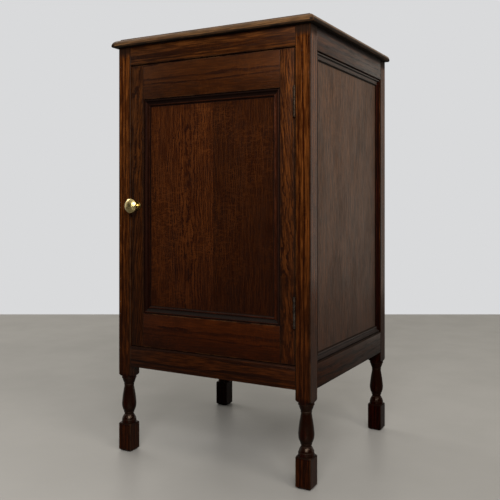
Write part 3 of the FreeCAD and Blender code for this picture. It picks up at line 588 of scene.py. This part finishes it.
        # Painted shade, with some dirt, darkens the wood toward the floor
        low = tuple(self.low_shade_level * channel for channel in LOW_SHADE_TINT) + (1.0,)
        low_shaded = wires.mix(wires.ease(height, 0.0, FADE_HEIGHT), low, WHITE)
        bottom, top, share = self.dark_band
        if not share:
            return low_shaded
        dark_band = wires.times(wires.ease(height, bottom - DARK_BAND_ENDS[0], bottom),
                             wires.ease(height, top, top - DARK_BAND_ENDS[1]), share)
        return wires.mix(dark_band, low_shaded, DARK_BAND_TINT)

    def _painted_shade_mask(self, wires: Wiring, place: Socket, box: Box) -> Socket:
        """Find where shade is painted: along a piece's edges under overhangs and by gaps, across a moulding's
        quirks and coves, and in its turned lines.

        Args:
            wires: the material's wiring.
            place: the socket that holds a point.
            box: the piece's lowest and highest corner.

        Returns:
            The socket that holds the mask.
        """
        low, high = box
        point = wires.parts(place)
        height = point[2]
        # Unshaded, where nothing is added to it
        masks = [0.0, 0.0]
        if self.skirt:
            masks.append(wires.ease(height, low.z + self.skirt, low.z + self.full_skirt * self.skirt))
        if self.eaves:
            full = high.z - self.full_eaves * self.eaves
            masks.append(wires.ease(height, high.z - self.eaves, full, 0.0, 0.9))
        if self.section:
            size = high - low
            across = sorted(range(3), key=lambda axis: size[axis])[1]
            outer, inner = box[self.mirrored][across], box[not self.mirrored][across]
            share = wires.add("MapRange", {"Value": point[across], "From Min": outer, "From Max": inner})
            masks.append(wires.ramp(share.outputs[0], self.section))
        if self.flank:
            inward = wires.reckon("SUBTRACT", (high.x - low.x) / 2, wires.reckon("ABSOLUTE", point[0]))
            risen = wires.ease(height, low.z + self.flank, low.z + self.full_flank * self.flank)
            masks.append(wires.times(wires.ease(inward, *FLANK_ENDS), risen))
        for line, half in self.lines:
            away = wires.reckon("ABSOLUTE", wires.reckon("SUBTRACT", height, line))
            masks.append(wires.ease(away, half, self.full_line * half))
        return wires.most(*masks)


@dataclass(frozen=True)
class MetalFinish:
    """Polished or dull metal with an aged skin.

    Attributes:
        clean, tarnished: the colours of bright metal and of the aged skin.
        tarnish: how much of the skin is aged.
        roughness: the metal at its brightest and dullest.
        patch: how many aged patches there are to the metre.
        dents: how deep the shallow dents of long handling are.
    """

    clean: Colour
    tarnished: Colour
    tarnish: float
    roughness: Pair
    patch: float
    dents: float = 0.0

    def material(self, name: str) -> Material:
        """Make the finish.

        Args:
            name: the material's name.

        Returns:
            The material.
        """
        material, wires, shader = new_material(name)
        place = wires.add("TexCoord").outputs["Object"]
        skin = wires.group(MetalSkin(), {"Vector": place, "Patch": self.patch})
        darkened = wires.times(skin["Tarnish"], self.tarnish)
        dull = wires.plus(wires.times(skin["Smudge"], 0.5), wires.times(darkened, 0.5))
        dented = wires.add("Bump", {"Height": skin["Smudge"], "Strength": 1.0, "Distance": self.dents})
        scratched = wires.add("Bump", {
            "Height": skin["Scratch"], "Normal": dented.outputs[0], "Strength": 0.12, "Distance": 0.02 * MM,
        })
        wires.feed(shader, {
            "Base Color": wires.mix(darkened, self.clean, self.tarnished), "Metallic": 1.0,
            "Roughness": wires.ease(dull, 0.0, 1.0, *self.roughness), "Normal": scratched.outputs[0],
        })
        return material


POLISHED_OAK = OakFinish(
    early=(0.028, 0.0050, 0.0011, 1.0), late=(0.200, 0.062, 0.0125, 1.0),
    pore=(0.007, 0.0020, 0.0009, 1.0), worn=(0.21, 0.085, 0.026, 1.0))
# The posts' finish paints the top's shadow under their upper ends (eaves), shade in the turned grooves
# (lines) and shade in the narrow turnings (hollow)
LEG_OAK = replace(
    POLISHED_OAK, lacquer=(1.0, 0.74, 0.56, 1.0), gloss=0.23, roughness=(0.14, 0.27), low_shade_level=0.15,
    dark_band=(50.0 * MM, 152.0 * MM, 0.74), reach=3.6 * MM, wear=0.1, seam=0.95, hollow=0.85, eaves=24.0 * MM,
    lines=((139.0 * MM, 1.3 * MM), (126.4 * MM, 1.6 * MM), (74.0 * MM, 1.0 * MM), (70.0 * MM, 2.6 * MM),
           (59.8 * MM, 1.1 * MM), (52.2 * MM, 1.8 * MM)))
REAR_OAK = replace(LEG_OAK, gloss=0.09, wear=0.0, dark_band=(-10.0 * MM, 160.0 * MM, 0.74))
# SILL_OAK and the LOW_OAK made from it, HEAD_OAK and DOOR_HEAD_OAK paint shade along the gaps at a rail's
# edge, by the door and the side's bottom moulding
SILL_OAK = replace(POLISHED_OAK, wear=0.0, eaves=3.0 * MM)
HEAD_OAK = replace(POLISHED_OAK, skirt=1.8 * MM)
DOOR_HEAD_OAK = replace(POLISHED_OAK, eaves=2.4 * MM)
FOOT_OAK = replace(POLISHED_OAK, late=(0.205, 0.054, 0.0095, 1.0), gloss=0.2)
LOW_OAK = replace(SILL_OAK, gloss=0.19, lacquer=(1.0, 0.9, 0.75, 1.0))
STILE_OAK = replace(POLISHED_OAK, reach=3.4 * MM, wear=0.05, seam=1.0, grime=1.0, margin=11.0 * MM)
PANEL_OAK = replace(
    POLISHED_OAK, early=(0.028, 0.0046, 0.0011, 1.0), late=(0.195, 0.056, 0.012, 1.0),
    lacquer=(1.0, 0.52, 0.40, 1.0), low_shade_level=0.2, wear=0.0, seam=0.9, grime=0.35)
SIDE_OAK = replace(
    POLISHED_OAK, late=(0.20, 0.068, 0.015, 1.0), gloss=0.36, lacquer=(1.0, 0.95, 0.76, 1.0), low_shade_level=0.28,
    wear=0.0, seam=0.9, grime=0.15, relief=0.4 * MM)
# Its skirt and flank paint the shade under the nose; its lighter, greyer colours and rubbed arrises are
# partly dust and wear, partly a painted sheen on the nose
TOP_OAK = replace(
    POLISHED_OAK, early=(0.060, 0.024, 0.008, 1.0), late=(0.27, 0.135, 0.050, 1.0), gloss=0.45,
    lacquer=(1.0, 0.88, 0.70, 1.0), wear=0.5, grime=0.3, seam=0.0, hollow=0.0, skirt=3.4 * MM,
    flank=7.0 * MM)
# Its eaves paint the shadow under the top's overhang onto the side's top rail, and dull the sheen there
EAVES_OAK = replace(POLISHED_OAK, gloss=0.48, lacquer=WHITE, eaves=11.0 * MM)
# A moulding's section paints shade into its quirks and coves and leaves its beads lit; the door's four
# mouldings are lit and shaded copies of one finish
DARK_MOULDING = OakFinish(
    early=(0.009, 0.0022, 0.0009, 1.0), late=(0.034, 0.0095, 0.0034, 1.0),
    pore=(0.0015, 0.0006, 0.0005, 1.0), worn=(0.075, 0.030, 0.012, 1.0),
    roughness=(0.24, 0.36), gloss=0.17, lacquer=(1.0, 0.6, 0.5, 1.0), wear=0.1, seam=0.0, hollow=0.0,
    section=((0.0, 1.0), (0.09, 1.0), (0.2, 0.5), (0.5, 0.55), (0.7, 0.2), (0.78, 0.0), (0.9, 0.1),
             (0.94, 0.95), (1.0, 1.0)))
LIGHT_MOULDING = replace(DARK_MOULDING, mirrored=True)
DULL_MOULDING = replace(DARK_MOULDING, gloss=0.09, lacquer=(1.0, 0.5, 0.4, 1.0))
SHADED_MOULDING = replace(
    DARK_MOULDING, mirrored=True,
    section=((0.0, 1.0), (0.12, 0.95), (0.25, 0.7), (0.4, 0.9), (0.65, 0.9), (0.78, 0.0), (0.9, 0.1),
             (0.94, 0.9), (1.0, 1.0)))
SILL_MOULDING = replace(
    DARK_MOULDING, late=(0.060, 0.014, 0.005, 1.0), gloss=0.3, lacquer=(1.0, 0.8, 0.7, 1.0),
    section=((0.0, 0.95), (0.08, 0.8), (0.12, 0.0), (0.24, 0.0), (0.3, 0.95), (0.66, 0.95), (0.74, 0.0),
             (0.9, 0.0), (0.94, 0.9), (1.0, 1.0)))
GREY_MOULDING = replace(
    DARK_MOULDING, mirrored=True, late=(0.085, 0.024, 0.010, 1.0), gloss=0.36, lacquer=(1.0, 0.82, 0.70, 1.0),
    section=((0.0, 1.0), (0.1, 1.0), (0.16, 0.0), (0.3, 0.1), (0.35, 0.75), (0.4, 0.75), (0.46, 0.2),
             (0.62, 0.15), (0.68, 0.5), (0.74, 0.0), (0.9, 0.1), (0.94, 0.9), (1.0, 1.0)))
PLAIN_MOULDING = replace(GREY_MOULDING, mirrored=False, section=((0.0, 0.3), (1.0, 0.3)))
RED_MOULDING = replace(
    DARK_MOULDING, late=(0.060, 0.0095, 0.0034, 1.0), gloss=0.05, lacquer=(1.0, 0.5, 0.4, 1.0), mirrored=True)
INNER_OAK = OakFinish(
    early=(0.060, 0.028, 0.012, 1.0), late=(0.165, 0.085, 0.038, 1.0),
    pore=(0.022, 0.010, 0.005, 1.0), worn=(0.26, 0.15, 0.075, 1.0),
    roughness=(0.52, 0.70), low_shade_level=1.0, wear=0.3, grime=0.7)
BRIGHT_BRASS = MetalFinish(
    clean=(0.84, 0.68, 0.31, 1.0), tarnished=(0.34, 0.23, 0.08, 1.0), tarnish=0.5,
    roughness=(0.24, 0.42), patch=230.0, dents=0.22 * MM)
# Much darker than the knob's brass, for the rosette and the latch
DARKENED_BRASS = MetalFinish(
    clean=(0.16, 0.105, 0.036, 1.0), tarnished=(0.040, 0.024, 0.010, 1.0), tarnish=0.8,
    roughness=(0.30, 0.55), patch=260.0)
DULL_STEEL = MetalFinish(
    clean=(0.050, 0.034, 0.024, 1.0), tarnished=(0.014, 0.009, 0.006, 1.0), tarnish=0.9,
    roughness=(0.38, 0.62), patch=260.0)
# The lower hinge's steel is a lighter copy of the upper's: a painted reflection
PAINTED_GLINT_STEEL = MetalFinish(
    clean=(0.15, 0.12, 0.10, 1.0), tarnished=(0.03, 0.02, 0.015, 1.0), tarnish=0.8,
    roughness=(0.26, 0.50), patch=220.0)


@dataclass
class Timber:
    """One wooden piece of the cabinet.

    Attributes:
        node: the name of its solid.
        finish: how it was finished.
        cut: how it was sawn.
        ease: the width of its eased arrises, or 0 where the solid is shown as it is.
        hidden: how far its edges are covered by the pieces around it.
    """

    node: str
    finish: OakFinish
    cut: Cut
    ease: float = 0.0
    hidden: float = 0.0

    def dress(self, seed: int) -> None:
        """Finish the piece, easing its arrises first where it has any to ease.

        Args:
            seed: which log it came from.
        """
        solid = frame["nodes"][self.node]
        low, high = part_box(self.node)
        cover = Vector(self.hidden if length > 2 * self.hidden else 0.0 for length in high - low)
        material = self.finish.material(self.node + "_finish", self.cut, seed, (low + cover, high - cover))
        piece = self._eased(solid) if self.ease else solid
        piece.material_slots[0].material = material
        log.info("%s: %d faces", piece.name, len(piece.data.polygons))

    def _eased(self, solid: Piece) -> Piece:
        """Copy the solid and round its long arrises over.

        Args:
            solid: the piece's solid.

        Returns:
            The copy, which stands for the solid.
        """
        body = solid["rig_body"]
        select_only(solid)
        bpy.ops.object.duplicate()
        piece = bpy.context.object
        piece.name = self.node + "_eased"
        del piece["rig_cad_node"]
        bpy.ops.mesh.customdata_custom_splitnormals_clear()
        bpy.ops.object.mode_set(mode="EDIT")
        bpy.ops.mesh.select_all(action="SELECT")
        bpy.ops.mesh.remove_doubles(threshold=MERGE)
        bpy.ops.mesh.dissolve_limited(angle_limit=math.radians(1.0))
        bpy.ops.mesh.select_all(action="DESELECT")
        bpy.ops.mesh.select_mode(type="EDGE")
        mesh = bmesh.from_edit_mesh(piece.data)
        for edge in mesh.edges:
            square = len(edge.link_faces) == 2 and edge.calc_face_angle() > SQUARE_ANGLE
            edge.select_set(square and edge.calc_length() > SHORTEST_ARRIS)
        bmesh.update_edit_mesh(piece.data)
        bpy.ops.mesh.bevel(offset=self.ease, segments=2, profile=0.5, affect="EDGES")
        bpy.ops.object.mode_set(mode="OBJECT")
        bpy.ops.object.shade_smooth_by_angle(angle=SMOOTH_ANGLE)
        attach(piece, body)
        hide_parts(self.node)
        return piece


def select_only(piece: Piece) -> None:
    """Make a piece the only one selected, and the active one.

    Args:
        piece: the piece to select.
    """
    bpy.ops.object.select_all(action="DESELECT")
    piece.select_set(True)
    bpy.context.view_layer.objects.active = piece


@dataclass
class Joinery:
    """A group of wooden pieces.

    Attributes:
        seed: the log that the first piece came from.
        ease: the width of the eased arrises on its rails and boards.
    """

    seed: int
    ease: float = 0.6 * MM

    def timbers(self) -> list[Timber]:
        """Return the pieces of the group."""
        raise NotImplementedError

    def dress(self) -> None:
        """Finish every piece, each from a log of its own."""
        for step, timber in enumerate(self.timbers()):
            timber.dress(self.seed + step)


@dataclass
class SideFrame(Joinery):
    """One side of the carcass: two rails, a panel and its mouldings.

    Attributes:
        side: left or right.
    """

    side: str = "left"

    def timbers(self) -> list[Timber]:
        """List the pieces of the side.

        Returns:
            The pieces.
        """
        rail = Cut(Grain.ALONG_Y, pith=(0.15, 0.03), rings=70.0, tone=0.5)
        panel = Cut(Grain.ALONG_Z, pith=(0.02, 0.19), rings=110.0, sway=9.0, fleck=0.5, tone=0.88,
                    contrast=1.1)
        level, upright = Cut(Grain.ALONG_Y), Cut(Grain.ALONG_Z)
        rows = (
            ("top_rail", EAVES_OAK, rail, self.ease), ("bottom_rail", LOW_OAK, rail, self.ease),
            ("panel", SIDE_OAK, panel, 0.0, PANEL_COVER),
            ("moulding_top", GREY_MOULDING, level), ("moulding_bottom", DARK_MOULDING, level),
            ("moulding_front", PLAIN_MOULDING, upright), ("moulding_rear", RED_MOULDING, upright),
        )
        return [Timber(f"{self.side}_side_{name}", *how) for name, *how in rows]


@dataclass
class FrontFrame(Joinery):
    """The four posts and the rails between them at the front."""

    def timbers(self) -> list[Timber]:
        """List the posts and rails.

        Returns:
            The pieces.
        """
        post = Cut(Grain.ALONG_Z, pith=(0.05, 0.10), rings=72.0, sway=6.0, flame=0.1, tone=1.05,
                   contrast=1.15)
        # The rear posts are a darker copy of the front posts: painted shade
        rear = replace(post, tone=0.9)
        rail = Cut(Grain.ALONG_X, pith=(0.01, 0.14), rings=70.0, sway=3.0, flame=0.07, tone=0.57,
                   contrast=1.3)
        arched = Cut(Grain.ALONG_X, pith=(0.004, 0.035), rings=58.0, sway=4.5, tone=0.5, contrast=1.9)
        rows = (
            ("front_left_post", LEG_OAK, post), ("front_right_post", LEG_OAK, post),
            ("rear_left_post", REAR_OAK, rear), ("rear_right_post", REAR_OAK, rear),
            ("front_top_rail", HEAD_OAK, rail, self.ease), ("front_bottom_rail", SILL_OAK, arched, self.ease),
        )
        return [Timber(*row) for row in rows]


@dataclass
class TopBoard(Joinery):
    """The moulded top board and the blocks that hold it."""

    def timbers(self) -> list[Timber]:
        """Return the board and its blocks."""
        board = Cut(Grain.ALONG_X, pith=(0.19, 0.06), rings=110.0, flame=0.1, tone=0.92, contrast=1.1)
        return [Timber("top_board", TOP_OAK, board), Timber("glue_blocks", INNER_OAK, Cut(Grain.ALONG_X))]


@dataclass
class DiscStore(Joinery):
    """The unpolished inside and back: floor, shelf, dividers, bearers, rear rails and back panel."""

    ease: float = 0.5 * MM

    def timbers(self) -> list[Timber]:
        """List the inner pieces.

        Returns:
            The pieces.
        """
        across = Cut(Grain.ALONG_X, pith=(0.14, 0.05))
        upright = Cut(Grain.ALONG_Z, pith=(0.03, 0.17), rings=36.0)
        deep = Cut(Grain.ALONG_Y)
        rows = {
            "bottom_board": across, "shelf": across, "rear_top_rail": across, "rear_bottom_rail": across,
            "lower_dividers": upright, "upper_dividers": upright, "back_panel": upright, "door_stop": upright,
            "left_shelf_bearer": deep, "right_shelf_bearer": deep,
            "left_bottom_bearer": deep, "right_bottom_bearer": deep,
        }
        return [Timber(node, INNER_OAK, cut, self.ease) for node, cut in rows.items()]


@dataclass
class Door(Joinery):
    """The panelled door."""

    def timbers(self) -> list[Timber]:
        """List the door's frame, panel and mouldings.

        Returns:
            The pieces.
        """
        rail = Cut(Grain.ALONG_X, pith=(0.02, 0.15), rings=210.0, sway=5.0, tone=0.66, contrast=0.5)
        lock_stile = Cut(Grain.ALONG_Z, pith=(0.03, 0.05), rings=74.0, sway=11.0, flame=0.5, slant=-5.0,
                         tone=0.47, contrast=1.5)
        hinge_stile = Cut(Grain.ALONG_Z, pith=(0.03, 0.05), rings=66.0, sway=14.0, flame=0.55, slant=5.0,
                          tone=0.76, contrast=1.4)
        panel = Cut(Grain.ALONG_Z, pith=(0.045, 0.035), rings=110.0, sway=13.0, flame=0.42, fleck=0.85,
                    tone=0.71, contrast=0.82, second=0.6)
        return [
            Timber("door_top_rail", DOOR_HEAD_OAK, rail, self.ease),
            Timber("door_bottom_rail", FOOT_OAK, replace(rail, tone=0.92), self.ease),
            Timber("door_lock_stile", STILE_OAK, lock_stile, self.ease),
            Timber("door_hinge_stile", STILE_OAK, hinge_stile, self.ease),
            Timber("door_panel", PANEL_OAK, panel, hidden=PANEL_COVER),
            Timber("door_moulding_top", SHADED_MOULDING, Cut(Grain.ALONG_X, tone=1.5)),
            Timber("door_moulding_bottom", SILL_MOULDING, Cut(Grain.ALONG_X, tone=1.2)),
            Timber("door_moulding_lock_side", DULL_MOULDING, Cut(Grain.ALONG_Z, tone=1.2)),
            # Its high tone is a painted highlight, where light falls on its inward slope
            Timber("door_moulding_hinge_side", LIGHT_MOULDING, Cut(Grain.ALONG_Z, tone=3.4)),
        ]


@dataclass
class Screws:
    """A set of slotted, countersunk screws that stands for one set of plain ones.

    Attributes:
        node: the name of the plain set.
        facing: the way that their heads face.
        head_radius, head_depth: the size of a head's cone.
        shank_radius: the radius of a shank.
        slot_width, slot_depth: the size of the slot.
        point: how wide the tip ends, as a share of the shank.
        sides: how many sides the round of a screw has.
    """

    node: str
    facing: Triple
    head_radius: float = 2.5 * MM
    head_depth: float = 1.3 * MM
    shank_radius: float = 1.2 * MM
    slot_width: float = 0.8 * MM
    slot_depth: float = 0.7 * MM
    point: float = 0.25
    sides: int = 24

    def build(self, material: Material) -> None:
        """Make one screw, and set a copy in each hole with its slot turned another way.

        Args:
            material: the screws' finish.
        """
        solid = frame["nodes"][self.node]
        heads, length = self._heads(solid)
        piece = self._pattern(length)
        piece.name = self.node + "_slotted"
        faced = Vector(self.facing).to_track_quat("Z", "Y")
        whole = bmesh.new()
        for index, head in enumerate(heads):
            copy = piece.data.copy()
            turned = faced @ Euler((0.0, 0.0, index * GOLDEN_TURN)).to_quaternion()
            copy.transform(Matrix.LocRotScale(head, turned, None))
            whole.from_mesh(copy)
            bpy.data.meshes.remove(copy)
        bmesh.ops.remove_doubles(whole, verts=whole.verts, dist=MERGE)
        bmesh.ops.recalc_face_normals(whole, faces=whole.faces)
        whole.to_mesh(piece.data)
        whole.free()
        select_only(piece)
        bpy.ops.object.shade_smooth_by_angle(angle=SMOOTH_ANGLE)
        piece.data.materials.append(material)
        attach(piece, solid["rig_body"])
        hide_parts(self.node)
        log.info("%s: %d screws", piece.name, len(heads))

    def _heads(self, solid: Piece) -> tuple[list[Vector], float]:
        """Find the plain screws.

        Args:
            solid: the plain set.

        Returns:
            The middle of each head's face, and the length of one screw.
        """
        way = Vector(self.facing)
        mesh = bmesh.new()
        mesh.from_mesh(solid.data)
        bmesh.ops.remove_doubles(mesh, verts=mesh.verts, dist=MERGE)
        heads = []
        length = 0.0
        left = set(mesh.verts)
        while left:
            island, rim = set(), {left.pop()}
            while rim:
                island |= rim
                rim = {edge.other_vert(vert) for vert in rim for edge in vert.link_edges} - island
            left -= island
            along = [vert.co.dot(way) for vert in island]
            face = [vert.co for vert in island if vert.co.dot(way) > max(along) - NEAR]
            low = Vector(map(min, zip(*face)))
            high = Vector(map(max, zip(*face)))
            heads.append((low + high) / 2)
            length = max(along) - min(along)
        mesh.free()
        return sorted(heads, key=tuple), length

    def _pattern(self, length: float) -> Piece:
        """Model one screw with its head's face on the ground plane.

        Args:
            length: the length of the screw.

        Returns:
            The screw.
        """
        bpy.ops.mesh.primitive_cylinder_add(vertices=self.sides, radius=self.head_radius,
                                            depth=self.head_depth, location=(0.0, 0.0, -self.head_depth / 2))
        screw = bpy.context.object
        bpy.ops.object.transform_apply()
        bpy.ops.object.mode_set(mode="EDIT")
        self._pick(screw, lambda face: face.normal.z < -LEVEL)
        bpy.ops.transform.resize(value=(self.shank_radius / self.head_radius,) * 2 + (1.0,))
        tip = 2 * self.shank_radius
        bpy.ops.mesh.extrude_region_move(
            TRANSFORM_OT_translate={"value": (0.0, 0.0, self.head_depth + tip - length)})
        bpy.ops.mesh.extrude_region_move(TRANSFORM_OT_translate={"value": (0.0, 0.0, -tip)})
        bpy.ops.transform.resize(value=(self.point, self.point, 1.0))
        for side in (-1.0, 1.0):
            self._pick(screw, lambda face: face.normal.z > LEVEL)
            bpy.ops.mesh.bisect(plane_co=(0.0, side * self.slot_width / 2, 0.0), plane_no=(0.0, 1.0, 0.0))
        self._pick(screw, lambda face: face.normal.z > LEVEL and abs(face.calc_center_bounds().y) < NEAR)
        bpy.ops.mesh.extrude_region_move(TRANSFORM_OT_translate={"value": (0.0, 0.0, -self.slot_depth)})
        bpy.ops.object.mode_set(mode="OBJECT")
        return screw

    @staticmethod
    def _pick(piece: Piece, wanted: Callable[[bmesh.types.BMFace], bool]) -> None:
        """Select the faces that pass a test.

        Args:
            piece: the piece, in edit mode.
            wanted: the test.
        """
        bpy.ops.mesh.select_mode(type="FACE")
        bpy.ops.mesh.select_all(action="DESELECT")
        mesh = bmesh.from_edit_mesh(piece.data)
        for face in mesh.faces:
            face.select_set(wanted(face))
        bmesh.update_edit_mesh(piece.data)


@dataclass
class Fittings:
    """The brass knob, its darker rosette and latch, the steel hinges and the screws."""

    polished: tuple[str, ...] = ("knob",)
    darkened: tuple[str, ...] = ("knob_rosette", "knob_spindle", "latch_spacer", "latch_tongue", "latch_nut")
    hinge_parts: tuple[str, ...] = ("post_leaf", "door_leaf", "pin")
    screws: tuple[Screws, ...] = (
        Screws("hinge_post_screws", (-1.0, 0.0, 0.0)),
        Screws("hinge_door_screws", (1.0, 0.0, 0.0)),
        Screws("back_panel_screws", (0.0, 1.0, 0.0)),
        Screws("glue_block_screws", (0.0, 0.0, -1.0)),
    )

    def dress(self) -> None:
        """Finish every metal piece and set the screws."""
        steel = DULL_STEEL.material("dull_steel")
        upper = tuple(f"upper_hinge_{part}" for part in self.hinge_parts)
        lower = tuple(f"lower_hinge_{part}" for part in self.hinge_parts)
        rows = ((self.polished, BRIGHT_BRASS.material("bright_brass")),
                (self.darkened, DARKENED_BRASS.material("darkened_brass")),
                (upper, steel), (lower, PAINTED_GLINT_STEEL.material("painted_glint_steel")))
        for names, material in rows:
            for name in names:
                frame["nodes"][name].material_slots[0].material = material
                log.info("%s: %s", name, material.name)
        for group in self.screws:
            group.build(steel)


@dataclass(frozen=True)
class Lamp:
    """One soft lamp, its power in watts, that faces the cabinet and that the camera doesn't see."""

    name: str
    place: Triple
    size: Pair
    power: float
    tint: Triple

    def hang(self) -> None:
        """Hang the lamp."""
        lamp = bpy.data.lights.new(self.name, "AREA")
        lamp.shape = "RECTANGLE"
        lamp.size, lamp.size_y = self.size
        lamp.energy = self.power
        lamp.color = self.tint
        holder = bpy.data.objects.new(self.name, lamp)
        bpy.context.scene.collection.objects.link(holder)
        holder.location = self.place
        aim = (CAD_BOX[0] + CAD_BOX[1]) / 2 - Vector(self.place)
        holder.rotation_euler = aim.to_track_quat("-Z", "Y").to_euler()
        holder.visible_camera = False


@dataclass
class Studio:
    """A pale floor, soft light and the camera.

    Attributes:
        eye: where the camera stands.
        yaw: how far it is turned to the left of the cabinet's depth, in degrees.
        lens: its focal length in millimetres.
        sink: its downward shift.
        lamps: the lamps.
        glow: the tint of the light from all around.
        back_glow: how bright it is in front of the cabinet and behind it.
        top_glow: how bright it is above.
        right_glow: how it changes from the left to the right.
        backdrop: the colour that the camera sees behind the cabinet.
        floor_tone: the floor's colour.
        floor_shade: how much of it is left in darker clouds.
        floor_roughness: the floor at its smoothest and roughest.
        floor_clouds, floor_smears: the patterns of its darker and its rougher patches.
        floor_size: the floor's width and length.
        floor_reach: how far in front of the camera the floor ends.
        floor_bounce: how much of the floor's light reaches the cabinet.
    """

    eye: Triple = (0.67907, -1.23763, 0.47499)
    yaw: float = 29.17
    lens: float = 50.84
    sink: float = -0.0949
    lamps: tuple[Lamp, ...] = (
        Lamp("key_lamp", (1.0, -1.9, 1.5), (1.2, 1.0), 44.0, (1.0, 0.97, 0.93)),
        Lamp("side_lamp", (2.0, -0.9, 2.2), (1.0, 1.0), 22.0, (1.0, 0.93, 0.84)),
        Lamp("far_lamp", (-2.2, 0.6, 2.0), (1.2, 1.2), 14.0, (1.0, 0.96, 0.92)),
    )
    glow: Colour = (0.99, 0.94, 0.84, 1.0)
    back_glow: Pair = (0.02, 0.58)
    top_glow: float = 0.5
    right_glow: Pair = (0.92, 1.2)
    backdrop: Colour = (0.695, 0.70, 0.71, 1.0)
    floor_tone: Colour = (0.37, 0.365, 0.355, 1.0)
    floor_shade: float = 0.93
    floor_roughness: Pair = (0.36, 0.44)
    floor_clouds: Speckle = Speckle(3.0, (0.3, 0.7), 4.0)
    floor_smears: Speckle = Speckle(9.0, (0.3, 0.7), 3.0)
    floor_size: float = 7.0
    floor_reach: float = 3.0
    floor_bounce: float = 0.3

    def build(self) -> None:
        """Make the camera, the light and the floor."""
        self._camera()
        self._surroundings()
        for lamp in self.lamps:
            lamp.hang()
        self._floor()

    def _ahead(self) -> Vector:
        """Return the level way that the camera looks."""
        yaw = math.radians(self.yaw)
        return Vector((-math.sin(yaw), math.cos(yaw), 0.0))

    def _camera(self) -> None:
        """Stand the camera at eye height, level, with a shifted lens."""
        camera = bpy.data.objects.new("camera", bpy.data.cameras.new("camera"))
        bpy.context.scene.collection.objects.link(camera)
        camera.location = self.eye
        camera.rotation_euler = (math.pi / 2, 0.0, math.radians(self.yaw))
        camera.data.sensor_fit = "HORIZONTAL"
        camera.data.lens = self.lens
        camera.data.shift_y = self.sink
        bpy.context.scene.camera = camera

    def _surroundings(self) -> None:
        """Light the scene from pale surroundings that are brightest behind the cabinet."""
        world = bpy.data.worlds.new("surroundings")
        bpy.context.scene.world = world
        world.use_nodes = True
        world.node_tree.nodes.clear()
        wires = Wiring(world.node_tree)
        way = wires.add("TexCoord").outputs["Generated"]
        behind = wires.add("VectorMath", {0: way, 1: self._ahead()}, operation="DOT_PRODUCT").outputs["Value"]
        toward = wires.parts(way)
        strength = wires.times(
            wires.most(wires.ease(behind, -0.4, 0.5, *self.back_glow),
                       wires.ease(toward[2], 0.35, 0.95, 0.0, self.top_glow)),
            wires.ease(toward[0], 0.28, 0.46, *self.right_glow))
        light = wires.add("Background", {"Color": self.glow, "Strength": strength})
        shown = wires.add("Background", {"Color": self.backdrop, "Strength": 1.0})
        seen = wires.add("LightPath").outputs["Is Camera Ray"]
        both = wires.add("MixShader", {0: seen, 1: light.outputs[0], 2: shown.outputs[0]})
        wires.add("OutputWorld", {"Surface": both.outputs[0]})

    def _floor(self) -> None:
        """Lay a pale floor with a faint sheen, its far edge level in the view."""
        middle = Vector(self.eye) + (self.floor_reach - self.floor_size / 2) * self._ahead()
        bpy.ops.mesh.primitive_plane_add(size=self.floor_size, location=(middle.x, middle.y, 0.0),
                                         rotation=(0.0, 0.0, math.radians(self.yaw)))
        bpy.ops.object.transform_apply()
        floor = bpy.context.object
        floor.name = "floor"
        material, wires, shader = new_material("pale_floor")
        place = wires.add("TexCoord").outputs["Object"]
        darker = tuple(self.floor_shade * channel for channel in self.floor_tone[:3]) + (1.0,)
        pale = wires.mix(self.floor_clouds.mask(wires, place), self.floor_tone, darker)
        bounced = wires.mix(1.0, pale, (self.floor_bounce,) * 3 + (1.0,), "MULTIPLY")
        seen = wires.add("LightPath").outputs["Is Camera Ray"]
        wires.feed(shader, {
            "Base Color": wires.mix(seen, bounced, pale),
            "Roughness": self.floor_smears.mask(wires, place, *self.floor_roughness),
        })
        floor.data.materials.append(material)


def main() -> None:
    """Build every sub-assembly in order."""
    logging.basicConfig(level=logging.INFO, format="%(name)s: %(message)s")
    bpy.context.scene.view_settings.view_transform = "Standard"
    FrontFrame(seed=1).dress()
    SideFrame(seed=11, side="left").dress()
    SideFrame(seed=21, side="right").dress()
    TopBoard(seed=31).dress()
    DiscStore(seed=41).dress()
    Door(seed=61).dress()
    Fittings().dress()
    Studio().build()


if __name__ == "__main__":
    main()
